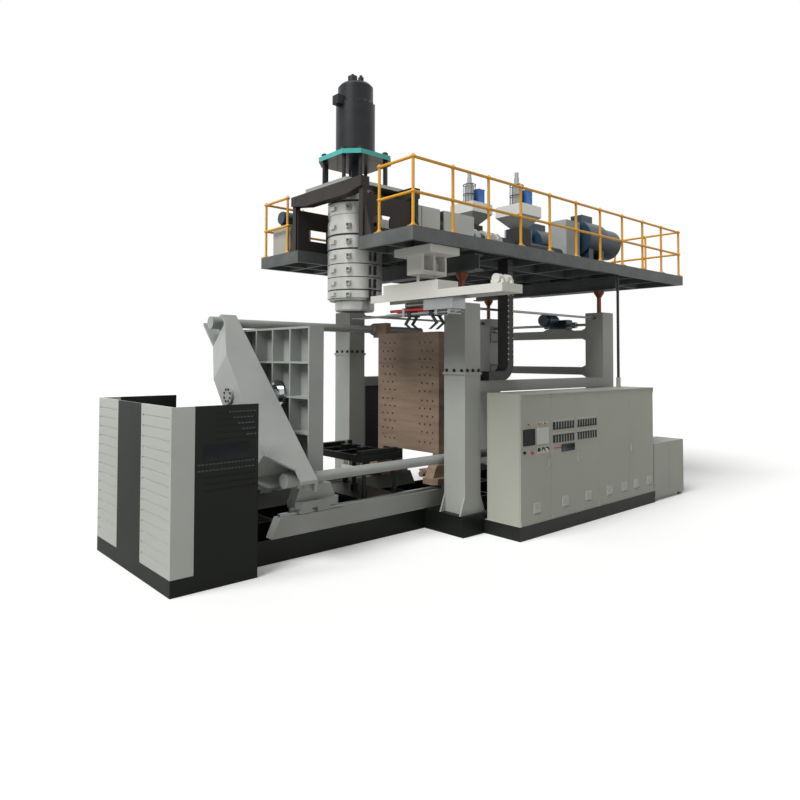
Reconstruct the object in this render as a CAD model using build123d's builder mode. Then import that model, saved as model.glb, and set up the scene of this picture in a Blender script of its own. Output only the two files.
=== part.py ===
from build123d import *
import os
from math import hypot

os.makedirs("parts", exist_ok=True)

# Accumulator-head blow moulding machine for large tanks, in millimetres.
# X runs along the closing direction, Y away from the operator and Z up.
# The origin lies on the floor, under the axis of the die head.

# Fits shared by all sliding and turning pieces
RUN_GAP = 0.3
CLEAR = 10

# Base frame, guide beams and rails
BASE_LEFT = -2440
BASE_RIGHT = 5266
BASE_HALF_WIDTH = 850
BASE_HEIGHT = 300
BASE_FLOOR = 20
BASE_WEB = 40
BASE_BAYS = 8
TIE_STRIP_HEIGHT = 100
TIE_STRIP_HALF_WIDTH = 300
ANCHOR_Y = 980
ANCHOR_RADIUS = 15
GUIDE_WIDTH = 150
GUIDE_TOP = 550
GUIDE_END = 1922
GUIDE_SLANT = 118
GUIDE_LIP = 700
RAIL_CENTRE_Y = 780
RAIL_WIDTH = 60
RAIL_HEIGHT = 40
RAIL_HALF_LENGTH = 1900

# Columns and their cross members
FRONT_COLUMN_X = (831, 1184)
FRONT_COLUMN_Y = (1153, 1569)
FRONT_COLUMN_TOP = 3450
REAR_COLUMN_X = (4814, 5190)
REAR_COLUMN_Y = (1165, 1530)
REAR_COLUMN_TOP = 3500
COLUMN_WALL = 16
FOOT_MARGIN = 115
JOINT_RIM = 15
JOINT_THICK = 40
NEAR_JOINT_Z = 2390
FAR_JOINT_Z = 2690
GUSSET_REACH = 105
GUSSET_HEIGHT = 260
GUSSET_THICK = 25
PORTAL_BEAM_X = (4834, 5034)
LOWER_BEAM_Z = (2310, 2460)
UPPER_BEAM_Z = (3015, 3175)
HAUNCH = 90
SEAT_RISE = 40
SIDE_BEAM_Z = (2100, 2270)
SIDE_BEAM_WIDTH = 200
BEAM_GUSSET = 80

# Screw lift of the platform
SCREW_RADIUS = 40
SCREW_BOTTOM = 2900
TRUMPET_RADIUS = 95
TRUMPET_HEIGHT = 130
JACK_SIZE = 240
FRONT_JACK_BOTTOM = 3310
REAR_JACK_BOTTOM = 3230
SHAFT_RADIUS = 20
SHAFT_Y = 1354
SHAFT_Z = 3400
SHAFT_SEAT = 20
CROSS_SHAFT_RADIUS = 25
CROSS_SHAFT_X = 5000
CROSS_SHAFT_Z = 3288
COUPLING_RADIUS = 45
COUPLING_LENGTH = 80
GEARMOTOR_Y = (-700, -300)
GEARMOTOR_HALF = 110
GEARMOTOR_TOP = 3400
GEARMOTOR_EDGE = 40
LIFT_MOTOR_SHIFT = 60
LIFT_MOTOR_Z = 3380
LIFT_MOTOR_RADIUS = 130
LIFT_MOTOR_LENGTH = 300
LIFT_FLANGE_RADIUS = 105
LIFT_FLANGE_THICK = 60
LIFT_COWL_RADIUS = 112
CROSS_COUPLING_RADIUS = 60

# Platform
DECK_X = (-574, 7404)
DECK_HALF_WIDTH = 1897
DECK_TOP = 4368
DECK_HEIGHT = 189
DECK_PLATE = 8
FASCIA = 60
JOIST = 50
NOTCH_DEPTH_X = 560
NOTCH_HALF_WIDTH = 766
GIRDER_BOTTOM = 3930
GIRDER_WIDTH = 200
GIRDER_FLANGE = 25
GIRDER_HALF_LENGTH = 1700
CONDUIT_X = 4895
CONDUIT_Y = -1790
CONDUIT_RADIUS = 25
GLAND_RADIUS = 38
HANDRAIL_HEIGHT = 935
HANDRAIL_RADIUS = 21
HANDRAIL_KNUCKLE = 33
HANDRAIL_INSET = 60
POST_FLANGE = 110
END_POST_PITCH = 712

# Die head hung between two beams
HEAD_BORE = 300
HEAD_RADIUS = 400
HEAD_BOTTOM = 3508
HEAD_NECK_Z = 5149
BAND_RADIUS = 433
BANDS_Z = ((5045, 5149), (4836, 5013), (4531, 4740), (4307, 4499), (4073, 4280),
           (3866, 4059), (3674, 3853), (3540, 3652))
DARK_BAND_Z = (4740, 4836)
DIE_RADIUS = 300
DIE_BORE = 215
DIE_BOTTOM = 3349
HEAD_BEAM_X = (440, 600)
HEAD_BEAM_Y = (-860, 930)
HEAD_BEAM_Z = (5040, 5250)
HEAD_PLATE_THICK = 52
HEAD_PLATE_HALF = (600, 520)
HEAD_POST = 90
CROWN_HALF = 503
CROWN_CHAMFER = 203
CROWN_Z = (5715, 5790)
CROWN_COLUMNS = ((430, 250), (250, 430))
CROWN_COLUMN_RADIUS = 30
CYLINDER_RADIUS = 313
CYLINDER_SHOULDER_Z = 6640
CYLINDER_CAP_RADIUS = 282
CYLINDER_CAP_Z = 6930
CYLINDER_BORE = 230
CYLINDER_DOME = 45
PISTON_ROD_RADIUS = 70
PISTON_STROKE = 850
CORE_ROD_RADIUS = 30
CORE_RADIUS = 200
MACHINE_TOP = 7161

# Extruders, one each side of the centre line
EXTRUDER_Y = 575
EXTRUDER_Z = 4720
FEED_TOP = {-1: 5040, 1: 5290}
BARREL_RADIUS = 110
BARREL_BORE = 60
BARREL_START = 420
BARREL_END = 4808
COVER_HALF_WIDTH = 185
COVERS_X = ((394, 730), (745, 1160), (1254, 2003))
COVER_TOP = 5030
FAN_X = (2040, 2390, 2640)
FAN_WIDTH = 150
FAN_RING_RADIUS = 155
FAN_INTAKE_RADIUS = 65
FAN_INTAKE_LENGTH = 50
HOPPER_X = 3500
HOPPER_HALF = 300
HOPPER_TOP = {-1: 5450, 1: 5700}
HOPPER_RIM = 190
HOPPER_WALL = 8
THROAT_HALF = 90
LOADER_X = 3450
LOADER_RADIUS = 135
LOADER_HEIGHT = 370
GEARBOX_X = (4808, 5319)
GEARBOX_HALF_WIDTH = 185
GEARBOX_TOP = 5400
MOTOR_Z = 5110
MOTOR_RADIUS = 380
MOTOR_END = 6090
COWL_RADIUS = 320
COWL_END = 6712
MOTOR_NECK_RADIUS = 180
MOTOR_NECK = 80
MOTOR_BOX_LENGTH = 400
MOTOR_BOX_HALF = 130
MOTOR_BOX_RISE = 110
MOTOR_BOX_SEAT = 300
MOTOR_FOOT_HALF = 300
MOTOR_FOOT_WIDTH = 160
MOTOR_SLED_HALF = 330
MOTOR_SLED_HEIGHT = 80

# Clamp
MOULD_CENTRE_Z = 2101
TIE_RADIUS = 70
TIE_Y = 1015
TIE_RISE = 1042
NUT_RADIUS = 95
NUT_COLLAR_RADIUS = 118
NUT_SEAT = -1733
NUT_END = -1985
TIE_BAR_END = 2500
BEAM_FRONT = -1690
BEAM_NOSE = -1933
BEAM_DEEP_UPPER = -2155
BEAM_DEEP_LOWER = -2270
BEAM_HALF_DEPTH = 260
BEAM_CHEEK = 30
BEAM_NECK = 1195
BEAM_HALF_Y = 1345
BEAM_HALF_Z = 1154
PLATEN_FRONT = 1155
PLATEN_BACK = 1400
PLATEN_SKIN = 60
PLATEN_HALF_WIDTH = 736
PLATEN_Z = (1076, 3052)
PLATEN_RIB = 30
PLATEN_COLUMNS = {-1: 4, 1: 3}
PLATEN_FAR_EDGE = {-1: 1130, 1: 736}
PLATEN_ROWS = 4
MOULD_BOLT_RADIUS = 12
MOULD_BOLT_Y = 1200
MOULD_BOLT_Z = 1600
MOULD_BOLT_DEPTH = 45
EAR_RADIUS = 110
EAR_THICK = 120
EAR_OVERLAP = 60
FOOT_X = (930, 1650)
FOOT_Z = (616, 711)
FOOT_Y = (600, 860)
FOOT_CORNER = 70
PEDESTAL_TOP = 905
BLOCK_X = ((1120, 1330), (1420, 1620))
WIPER_X = ((1050, 1120), (1620, 1690))
WIPER_Y = (700, 770)
RAM_BORE = 150
RAM_WALL = 20
RAM_TRAVEL = 350

# Lift table and blow pins between the platens
TABLE_HALF = (400, 650)
TABLE_Z = (1080, 1180)
TABLE_ROD_RADIUS = 28
TABLE_ROD_AT = (303, 600)
TABLE_ROD_BOTTOM = 60
LIFT_ROD_RADIUS = 35
LIFT_CYLINDER_RADIUS = 60
LIFT_CYLINDER_FLOOR = 120
BRIDGE_Z = (480, 545)
BUSH_RADIUS = 48
BLOW_PIN_RADIUS = 25
BLOW_PIN_PITCH = 400

# Take-out robot under the platform
ROBOT_PLATE_X = (-168, 430)
ROBOT_PLATE_Y = (-1820, -1100)
ROBOT_PLATE_THICK = 109
BRACKET_X = (-104, 400)
BRACKET_Y = (-1600, -1300)
BRACKET_BOTTOM = 3793
ROBOT_BEAM_X = (-80, 330)
ROBOT_BEAM_Y = (-2963, -480)
ROBOT_BEAM_Z = (3445, 3555)
ROBOT_BOX_Y = (-1880, -770)
ROBOT_BOX_TOP = 3690
GUIDE_ROD_RADIUS = 22
ROBOT_AXIS_X = 125
GRIPPER_Z = 3250

# Cabinets
CABINET_X = (1224, 5233)
CABINET_FRONT = -2251
CABINET_BACK = -1665
CABINET_TOP = 2098
CABINET_WALL = 25
PLINTH_TOP = 205
PLINTH_PROUD = 34
DOOR_EDGES = (1224, 1983, 2665, 3358, 4353, 5233)
DOOR_HINGES = ("left", "left", "right", "left", "right")
DOOR_THICK = 19.7
DOOR_SIDE_GAP = 1.5
DOOR_END_GAP = 3
DOOR_RELIEF = 2
DOOR_RELIEF_WIDTH = 12
CORNICE = 20
KNUCKLE_RADIUS = 8
HINGE_PIN_RADIUS = 5
KNUCKLE_LENGTH = 60
REAR_CABINET_X = (5267, 6470)
REAR_CABINET_BACK = -1735
REAR_CABINET_Z = (60, 1060)

# Side cabinet on the far side, behind the columns
SIDE_CABINET_X = (1640, 2640)
SIDE_CABINET_Y = (1660, 1890)

# Guard enclosure at the clamp end
ENCLOSURE_X = (-3540, -2450)
ENCLOSURE_HALF_WIDTH = 1180
ENCLOSURE_TOP = 2063
ENCLOSURE_PLINTH = 193
ENCLOSURE_WALL = 40
STRIPE_Y = (-321, 447)
CORNER_X = -3265
LOUVRE_HEIGHT = 22
LOUVRE_DEPTH = 8
SIDE_LOUVRES = ((1830, 500, 100), (1260, 660, 30))
SIDE_LOUVRE_ROWS = 5
SIDE_LOUVRE_PITCH = 74
END_LOUVRE_ROWS = 14
END_LOUVRE_PITCH = 124
END_LOUVRE_MARGIN = 45
CABINET_LOUVRE_Z = 1300
CABINET_LOUVRE_ROWS = 12
CABINET_LOUVRE_PITCH = 100
CABINET_LOUVRE_WIDTH = 600
CABINET_LOUVRE_MARGIN = 60


def bar(x, y, z, mode=Mode.ADD):
    """Add a rectangular bar between pairs of limits."""
    with Locations(((x[0] + x[1]) / 2, (y[0] + y[1]) / 2, (z[0] + z[1]) / 2)):
        Box(x[1] - x[0], y[1] - y[0], z[1] - z[0], mode=mode)


def rod(start, direction, radius, length, mode=Mode.ADD):
    """Add a round rod that runs from start along direction."""
    with BuildSketch(Plane(origin=start, z_dir=direction)) as section:
        Circle(radius)
    extrude(section.sketch, amount=length, mode=mode)


def plate(plane, outline, amount, mode=Mode.ADD):
    """Add a straight-sided plate from its outline on plane."""
    with BuildSketch(plane) as section:
        with BuildLine():
            Polyline(*outline, close=True)
        make_face()
    extrude(section.sketch, amount=amount, mode=mode)


def turned(outline, mode=Mode.ADD):
    """Add a piece turned about the die head axis, from (radius, height) points."""
    with BuildSketch(Plane.XZ) as section:
        with BuildLine():
            Polyline(*outline, close=True)
        make_face()
    revolve(section.sketch, axis=Axis.Z, mode=mode)


def pair(limits, side):
    """Limits mirrored to one side of the centre line, in rising order."""
    return tuple(sorted((side * limits[0], side * limits[1])))


def save(piece, label):
    """Label a finished piece and write its file."""
    piece.part.label = label
    export_step(piece.part, f"parts/{label}.step")


def middle(limits):
    """Middle of a pair of limits."""
    return (limits[0] + limits[1]) / 2


FRONT_SCREW = (middle(FRONT_COLUMN_X), middle(FRONT_COLUMN_Y))
REAR_SCREW = (middle(REAR_COLUMN_X), middle(REAR_COLUMN_Y))
DECK_BOTTOM = DECK_TOP - DECK_HEIGHT

# Base frame: pocketed plinth, guide beams, table bridge and column feet
PLINTH_BACK = CABINET_BACK + PLINTH_PROUD - 4
with BuildPart() as base_frame:
    bar((BASE_LEFT, BASE_RIGHT), (-BASE_HALF_WIDTH, BASE_HALF_WIDTH), (0, BASE_HEIGHT))
    bay = (BASE_RIGHT - BASE_LEFT) / BASE_BAYS
    with BuildSketch(Plane.XY.offset(BASE_FLOOR)) as pockets:
        with Locations((middle((BASE_LEFT, BASE_RIGHT)), 0)):
            with GridLocations(bay, BASE_HALF_WIDTH, BASE_BAYS, 2):
                Rectangle(bay - BASE_WEB, BASE_HALF_WIDTH - BASE_WEB)
    extrude(pockets.sketch, amount=BASE_HEIGHT, mode=Mode.SUBTRACT)
    bar((ENCLOSURE_X[0] + ENCLOSURE_WALL, BASE_LEFT),
        (-TIE_STRIP_HALF_WIDTH, TIE_STRIP_HALF_WIDTH), (0, TIE_STRIP_HEIGHT))
    for side in (-1, 1):
        for foot_x in (FRONT_COLUMN_X, REAR_COLUMN_X):
            bar((foot_x[0] - FOOT_MARGIN, foot_x[1] + FOOT_MARGIN),
                pair((BASE_HALF_WIDTH, -PLINTH_BACK), side), (0, BASE_HEIGHT))
    bridge_half = TABLE_ROD_AT[0] + BUSH_RADIUS + CLEAR
    bar((-bridge_half, bridge_half),
        (GUIDE_WIDTH - BASE_HALF_WIDTH, BASE_HALF_WIDTH - GUIDE_WIDTH), BRIDGE_Z)
    with Locations((0, 0, BRIDGE_Z[1])):
        with GridLocations(2 * TABLE_ROD_AT[0], 2 * TABLE_ROD_AT[1], 2, 2):
            Cylinder(BUSH_RADIUS, 2 * BUSH_RADIUS, align=(Align.CENTER, Align.CENTER, Align.MIN))
            Cylinder(TABLE_ROD_RADIUS + RUN_GAP, 4 * BRIDGE_Z[1] - 4 * BRIDGE_Z[0], mode=Mode.SUBTRACT)
    rod((0, 0, BASE_FLOOR), (0, 0, 1), LIFT_CYLINDER_RADIUS, BRIDGE_Z[1] + 2 * BUSH_RADIUS - BASE_FLOOR)
    rod((0, 0, LIFT_CYLINDER_FLOOR), (0, 0, 1), LIFT_ROD_RADIUS + RUN_GAP, TABLE_Z[0], Mode.SUBTRACT)
    with Locations((middle((FRONT_SCREW[0], REAR_SCREW[0])), 0, 0)):
        with GridLocations(REAR_SCREW[0] - FRONT_SCREW[0], 2 * ANCHOR_Y, 2, 2):
            Cylinder(ANCHOR_RADIUS, 2 * BASE_HEIGHT + CLEAR, mode=Mode.SUBTRACT)
save(base_frame, "base_frame")

with BuildPart() as guide_beams:
    for side in (-1, 1):
        plate(Plane.XZ.offset(-side * BASE_HALF_WIDTH),
              ((-GUIDE_END - GUIDE_SLANT, BASE_HEIGHT), (GUIDE_END + GUIDE_SLANT, BASE_HEIGHT),
               (GUIDE_END, GUIDE_TOP), (-GUIDE_END, GUIDE_TOP)), side * GUIDE_WIDTH)
        bar((-GUIDE_LIP, GUIDE_LIP), pair((BASE_HALF_WIDTH, BASE_HALF_WIDTH + 12), side),
            (BASE_HEIGHT, BASE_HEIGHT + 14))
save(guide_beams, "guide_beams")

with BuildPart() as linear_rails:
    for side in (-1, 1):
        bar((-RAIL_HALF_LENGTH, RAIL_HALF_LENGTH),
            (side * RAIL_CENTRE_Y - RAIL_WIDTH / 2, side * RAIL_CENTRE_Y + RAIL_WIDTH / 2),
            (GUIDE_TOP, GUIDE_TOP + RAIL_HEIGHT))
    chamfer(linear_rails.edges().group_by(Axis.Z)[-1].filter_by(Axis.X), RAIL_HEIGHT / 8)
save(linear_rails, "linear_rails")


def column(x, y, top, shafts):
    """Hollow column with its foot flange, cap, screw hole and shaft holes."""
    bar(x, y, (BASE_HEIGHT, top))
    inner_x = (x[0] + COLUMN_WALL, x[1] - COLUMN_WALL)
    inner_y = (y[0] + COLUMN_WALL, y[1] - COLUMN_WALL)
    bar(inner_x, inner_y, (BASE_HEIGHT + COLUMN_WALL, top - COLUMN_WALL), mode=Mode.SUBTRACT)
    rod((middle(x), middle(y), top), (0, 0, -1), SCREW_RADIUS + CLEAR, 2 * COLUMN_WALL, Mode.SUBTRACT)
    for start, direction in shafts:
        rod(start, direction, CROSS_SHAFT_RADIUS + CLEAR, 2 * COLUMN_WALL, Mode.SUBTRACT)


def joint_flange(x, y, z):
    """Bolted joint that rings a column at height z."""
    bar((x[0] - JOINT_RIM, x[1] + JOINT_RIM), (y[0] - JOINT_RIM, y[1] + JOINT_RIM),
        (z - JOINT_THICK / 2, z + JOINT_THICK / 2))
    bar(x, y, (z - JOINT_THICK, z + JOINT_THICK), mode=Mode.SUBTRACT)


def tube_ring(x, y, z):
    """Column wall put back where a joint flange has been opened out."""
    bar(x, y, (z - JOINT_THICK, z + JOINT_THICK))
    bar((x[0] + COLUMN_WALL, x[1] - COLUMN_WALL), (y[0] + COLUMN_WALL, y[1] - COLUMN_WALL),
        (z - JOINT_THICK, z + JOINT_THICK), mode=Mode.SUBTRACT)


def foot_gusset(x, y):
    """Triangular gussets at a column's foot, fore and aft."""
    z = BASE_HEIGHT
    for gusset_y in (y[0] + GUSSET_THICK, y[1]):
        plane = Plane.XZ.offset(-gusset_y)
        for edge, out in ((x[0], -1), (x[1], 1)):
            plate(plane, ((edge, z), (edge + out * GUSSET_REACH, z), (edge, z + GUSSET_HEIGHT)), GUSSET_THICK)


with BuildPart() as front_columns:
    for side, joint_z in ((-1, NEAR_JOINT_Z), (1, FAR_JOINT_Z)):
        column_y = pair(FRONT_COLUMN_Y, side)
        shaft_hole = ((FRONT_COLUMN_X[1] + COLUMN_WALL / 2, side * SHAFT_Y, SHAFT_Z), (-1, 0, 0))
        column(FRONT_COLUMN_X, column_y, FRONT_COLUMN_TOP, [shaft_hole])
        joint_flange(FRONT_COLUMN_X, column_y, joint_z)
        tube_ring(FRONT_COLUMN_X, column_y, joint_z)
        foot_gusset(FRONT_COLUMN_X, column_y)
save(front_columns, "front_columns")

with BuildPart() as rear_portal:
    for side in (-1, 1):
        column_y = pair(REAR_COLUMN_Y, side)
        inner_face = side * REAR_COLUMN_Y[0]
        shaft_holes = [((REAR_COLUMN_X[0] - COLUMN_WALL / 2, side * SHAFT_Y, SHAFT_Z), (1, 0, 0)),
                       ((CROSS_SHAFT_X, inner_face - side * COLUMN_WALL / 2, CROSS_SHAFT_Z), (0, side, 0))]
        column(REAR_COLUMN_X, column_y, REAR_COLUMN_TOP, shaft_holes)
        foot_gusset(REAR_COLUMN_X, column_y)
        for beam_z in (LOWER_BEAM_Z, UPPER_BEAM_Z):
            haunch_plane = Plane.YZ.offset(PORTAL_BEAM_X[0])
            top, bottom = beam_z[1], beam_z[0]
            plate(haunch_plane, ((inner_face, bottom - HAUNCH / 2), (inner_face, top + HAUNCH / 2),
                                 (inner_face - side * HAUNCH, top), (inner_face - side * HAUNCH, bottom)),
                  PORTAL_BEAM_X[1] - PORTAL_BEAM_X[0])
    for beam_z in (LOWER_BEAM_Z, UPPER_BEAM_Z):
        bar(PORTAL_BEAM_X, (-REAR_COLUMN_Y[0], REAR_COLUMN_Y[0]), beam_z)
    seat_y = (GEARMOTOR_Y[0] - CLEAR, GEARMOTOR_Y[1] + CLEAR)
    plate(Plane.YZ.offset(PORTAL_BEAM_X[0]),
          ((seat_y[0] - HAUNCH, UPPER_BEAM_Z[1]), (seat_y[1] + HAUNCH, UPPER_BEAM_Z[1]),
           (seat_y[1], UPPER_BEAM_Z[1] + SEAT_RISE), (seat_y[0], UPPER_BEAM_Z[1] + SEAT_RISE)),
          PORTAL_BEAM_X[1] - PORTAL_BEAM_X[0])
save(rear_portal, "rear_portal")

# Drag chain tray on the near side beam
CHAIN_Y = (-1620, -1420)
CHAIN_X = 1868
CHAIN_THICK = 70
CHAIN_BEND = 190
CHAIN_END_X = 1330
TRAY_THICK = 6
TRAY_TOP = SIDE_BEAM_Z[1] + TRAY_THICK
with BuildPart() as side_beams:
    beam_span = (FRONT_COLUMN_X[1], REAR_COLUMN_X[0])
    for side in (-1, 1):
        outer = side * REAR_COLUMN_Y[1]
        bar(beam_span, pair((REAR_COLUMN_Y[1] - SIDE_BEAM_WIDTH, REAR_COLUMN_Y[1]), side), SIDE_BEAM_Z)
        for end, out in ((beam_span[0], 1), (beam_span[1], -1)):
            plate(Plane.XZ.offset(-outer + side * SIDE_BEAM_WIDTH / 2 - GUSSET_THICK / 2),
                  ((end, SIDE_BEAM_Z[1]), (end + out * BEAM_GUSSET, SIDE_BEAM_Z[1]),
                   (end, SIDE_BEAM_Z[1] + BEAM_GUSSET)), GUSSET_THICK)
    bar((CHAIN_END_X - CLEAR, CHAIN_X + CHAIN_BEND), (CHAIN_Y[0] - TRAY_THICK, CHAIN_Y[1] + TRAY_THICK),
        (SIDE_BEAM_Z[1], SIDE_BEAM_Z[1] + TRAY_THICK))
save(side_beams, "side_beams")

# Screw jacks under the column caps
with BuildPart() as screw_jacks:
    for side in (-1, 1):
        for (x, y), top, bottom, toward in ((FRONT_SCREW, FRONT_COLUMN_TOP, FRONT_JACK_BOTTOM, 1),
                                            (REAR_SCREW, REAR_COLUMN_TOP, REAR_JACK_BOTTOM, -1)):
            half = JACK_SIZE / 2
            bar((x - half, x + half), (side * y - half, side * y + half), (bottom, top - COLUMN_WALL))
            rod((x, side * y, top), (0, 0, -1), SCREW_RADIUS + RUN_GAP, top - bottom + CLEAR, Mode.SUBTRACT)
            rod((x + toward * half, side * SHAFT_Y, SHAFT_Z), (-toward, 0, 0),
                SHAFT_RADIUS + RUN_GAP, SHAFT_SEAT, Mode.SUBTRACT)
            if toward < 0:
                rod((CROSS_SHAFT_X, side * (y - half), CROSS_SHAFT_Z), (0, side, 0),
                    CROSS_SHAFT_RADIUS + RUN_GAP, SHAFT_SEAT, Mode.SUBTRACT)
save(screw_jacks, "screw_jacks")

with BuildPart() as lift_gearmotor:
    seat_top = UPPER_BEAM_Z[1] + SEAT_RISE
    box_x = (CROSS_SHAFT_X - GEARMOTOR_HALF, CROSS_SHAFT_X + GEARMOTOR_HALF)
    bar(box_x, GEARMOTOR_Y, (seat_top, GEARMOTOR_TOP))
    fillet(lift_gearmotor.edges().filter_by(Axis.Y).group_by(Axis.Z)[-1], GEARMOTOR_EDGE)
    motor_y = middle(GEARMOTOR_Y) + LIFT_MOTOR_SHIFT
    motor_x = box_x[0] - LIFT_FLANGE_THICK
    rod((box_x[0], motor_y, LIFT_MOTOR_Z), (-1, 0, 0), LIFT_FLANGE_RADIUS, LIFT_FLANGE_THICK)
    rod((motor_x, motor_y, LIFT_MOTOR_Z), (-1, 0, 0), LIFT_MOTOR_RADIUS, LIFT_MOTOR_LENGTH)
    rod((motor_x - LIFT_MOTOR_LENGTH, motor_y, LIFT_MOTOR_Z), (-1, 0, 0), LIFT_COWL_RADIUS, LIFT_FLANGE_THICK)
    rod((CROSS_SHAFT_X, GEARMOTOR_Y[0] - CLEAR, CROSS_SHAFT_Z), (0, 1, 0),
        CROSS_SHAFT_RADIUS + RUN_GAP, GEARMOTOR_Y[1] - GEARMOTOR_Y[0] + 2 * CLEAR, Mode.SUBTRACT)
save(lift_gearmotor, "lift_gearmotor")

# Drive shafts between the jacks, with their couplings
for name, side in (("long_shaft_near", -1), ("long_shaft_far", 1)):
    start = FRONT_SCREW[0] + JACK_SIZE / 2 - SHAFT_SEAT + RUN_GAP
    end = REAR_SCREW[0] - JACK_SIZE / 2 + SHAFT_SEAT - RUN_GAP
    with BuildPart() as long_shaft:
        rod((start, side * SHAFT_Y, SHAFT_Z), (1, 0, 0), SHAFT_RADIUS, end - start)
        for at in (FRONT_COLUMN_X[1] + COUPLING_LENGTH, REAR_COLUMN_X[0] - 2 * COUPLING_LENGTH):
            rod((at, side * SHAFT_Y, SHAFT_Z), (1, 0, 0), COUPLING_RADIUS, COUPLING_LENGTH)
    save(long_shaft, name)

with BuildPart() as rear_drive_shaft:
    reach = REAR_SCREW[1] - JACK_SIZE / 2 + SHAFT_SEAT - RUN_GAP
    rod((CROSS_SHAFT_X, -reach, CROSS_SHAFT_Z), (0, 1, 0), CROSS_SHAFT_RADIUS, 2 * reach)
    for at in (GEARMOTOR_Y[0] - 2 * COUPLING_LENGTH, GEARMOTOR_Y[1] + COUPLING_LENGTH):
        rod((CROSS_SHAFT_X, at, CROSS_SHAFT_Z), (0, 1, 0), CROSS_COUPLING_RADIUS, COUPLING_LENGTH)
save(rear_drive_shaft, "rear_drive_shaft")


# Guard enclosure: a U of black panels on a plinth, open towards the clamp
def louvres(plane, width, rows, pitch):
    """Rows of shallow horizontal louvre slots on a panel."""
    with BuildSketch(plane) as slots:
        with GridLocations(width, pitch, 1, rows):
            Rectangle(width, LOUVRE_HEIGHT)
    extrude(slots.sketch, amount=-LOUVRE_DEPTH, mode=Mode.SUBTRACT)


with BuildPart() as enclosure_frame:
    half = ENCLOSURE_HALF_WIDTH
    bar(ENCLOSURE_X, (-half, half), (0, ENCLOSURE_TOP))
    bar((ENCLOSURE_X[0] + ENCLOSURE_WALL, ENCLOSURE_X[1] + CLEAR),
        (ENCLOSURE_WALL - half, half - ENCLOSURE_WALL), (-CLEAR, ENCLOSURE_TOP + CLEAR), mode=Mode.SUBTRACT)
    for corner_y in ((-half - CLEAR, STRIPE_Y[0]), (STRIPE_Y[1], half + CLEAR)):
        bar((ENCLOSURE_X[0] - CLEAR, CORNER_X), corner_y,
            (ENCLOSURE_PLINTH, ENCLOSURE_TOP + CLEAR), mode=Mode.SUBTRACT)
    panel_middle = middle((CORNER_X, ENCLOSURE_X[1]))
    for z, width, shift in SIDE_LOUVRES:
        face = Plane(origin=(panel_middle + shift, -half, z), x_dir=(1, 0, 0), z_dir=(0, -1, 0))
        louvres(face, width, SIDE_LOUVRE_ROWS, SIDE_LOUVRE_PITCH)
save(enclosure_frame, "enclosure_frame")

with BuildPart() as enclosure_panels:
    for side, stripe in ((-1, STRIPE_Y[0]), (1, STRIPE_Y[1])):
        out = side * half
        plate(Plane.XY.offset(ENCLOSURE_PLINTH),
              ((ENCLOSURE_X[0], stripe), (ENCLOSURE_X[0], out), (CORNER_X, out),
               (CORNER_X, out - side * ENCLOSURE_WALL), (ENCLOSURE_X[0] + ENCLOSURE_WALL, out - side * ENCLOSURE_WALL),
               (ENCLOSURE_X[0] + ENCLOSURE_WALL, stripe)), ENCLOSURE_TOP - ENCLOSURE_PLINTH)
        face = Plane(origin=(ENCLOSURE_X[0], middle((stripe, out)), middle((ENCLOSURE_PLINTH, ENCLOSURE_TOP))),
                     x_dir=(0, -1, 0), z_dir=(-1, 0, 0))
        louvres(face, abs(out - stripe) - 2 * END_LOUVRE_MARGIN, END_LOUVRE_ROWS, END_LOUVRE_PITCH)
save(enclosure_panels, "enclosure_panels")

# Control cabinet with five compartments behind its doors
CABINET_DOOR_FRONT = CABINET_FRONT - RUN_GAP - DOOR_THICK
HINGE_Y = CABINET_DOOR_FRONT - KNUCKLE_RADIUS + 2
DOOR_Z = (PLINTH_TOP + DOOR_END_GAP, CABINET_TOP - CORNICE - DOOR_END_GAP)


def hinge_x(index):
    """X of a door's hinge axis."""
    if DOOR_HINGES[index] == "left":
        return DOOR_EDGES[index] + DOOR_SIDE_GAP + KNUCKLE_RADIUS
    return DOOR_EDGES[index + 1] - DOOR_SIDE_GAP - KNUCKLE_RADIUS


with BuildPart() as control_cabinet:
    bar(CABINET_X, (CABINET_FRONT, CABINET_BACK), (PLINTH_TOP, CABINET_TOP))
    for left, right in zip(DOOR_EDGES[:-1], DOOR_EDGES[1:]):
        bar((left + CABINET_WALL, right - CABINET_WALL), (CABINET_FRONT - CLEAR, CABINET_BACK - CABINET_WALL),
            (PLINTH_TOP + CABINET_WALL, CABINET_TOP - CORNICE - CABINET_WALL), mode=Mode.SUBTRACT)
    bar((CABINET_X[0] - PLINTH_PROUD, CABINET_X[1] + PLINTH_PROUD),
        (CABINET_FRONT - PLINTH_PROUD, PLINTH_BACK), (0, PLINTH_TOP))
    bar(CABINET_X, (CABINET_FRONT - PLINTH_PROUD, CABINET_FRONT), (CABINET_TOP - CORNICE, CABINET_TOP))
    for index in range(len(DOOR_HINGES)):
        pin_length = KNUCKLE_LENGTH / 2
        rod((hinge_x(index), HINGE_Y, PLINTH_TOP), (0, 0, 1), HINGE_PIN_RADIUS, pin_length)
        rod((hinge_x(index), HINGE_Y, CABINET_TOP - CORNICE), (0, 0, -1), HINGE_PIN_RADIUS, pin_length)
    rod((CONDUIT_X, CONDUIT_Y, CABINET_TOP - CLEAR), (0, 0, 1), GLAND_RADIUS, TRAY_TOP - CABINET_TOP + CLEAR)
save(control_cabinet, "control_cabinet")

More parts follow.
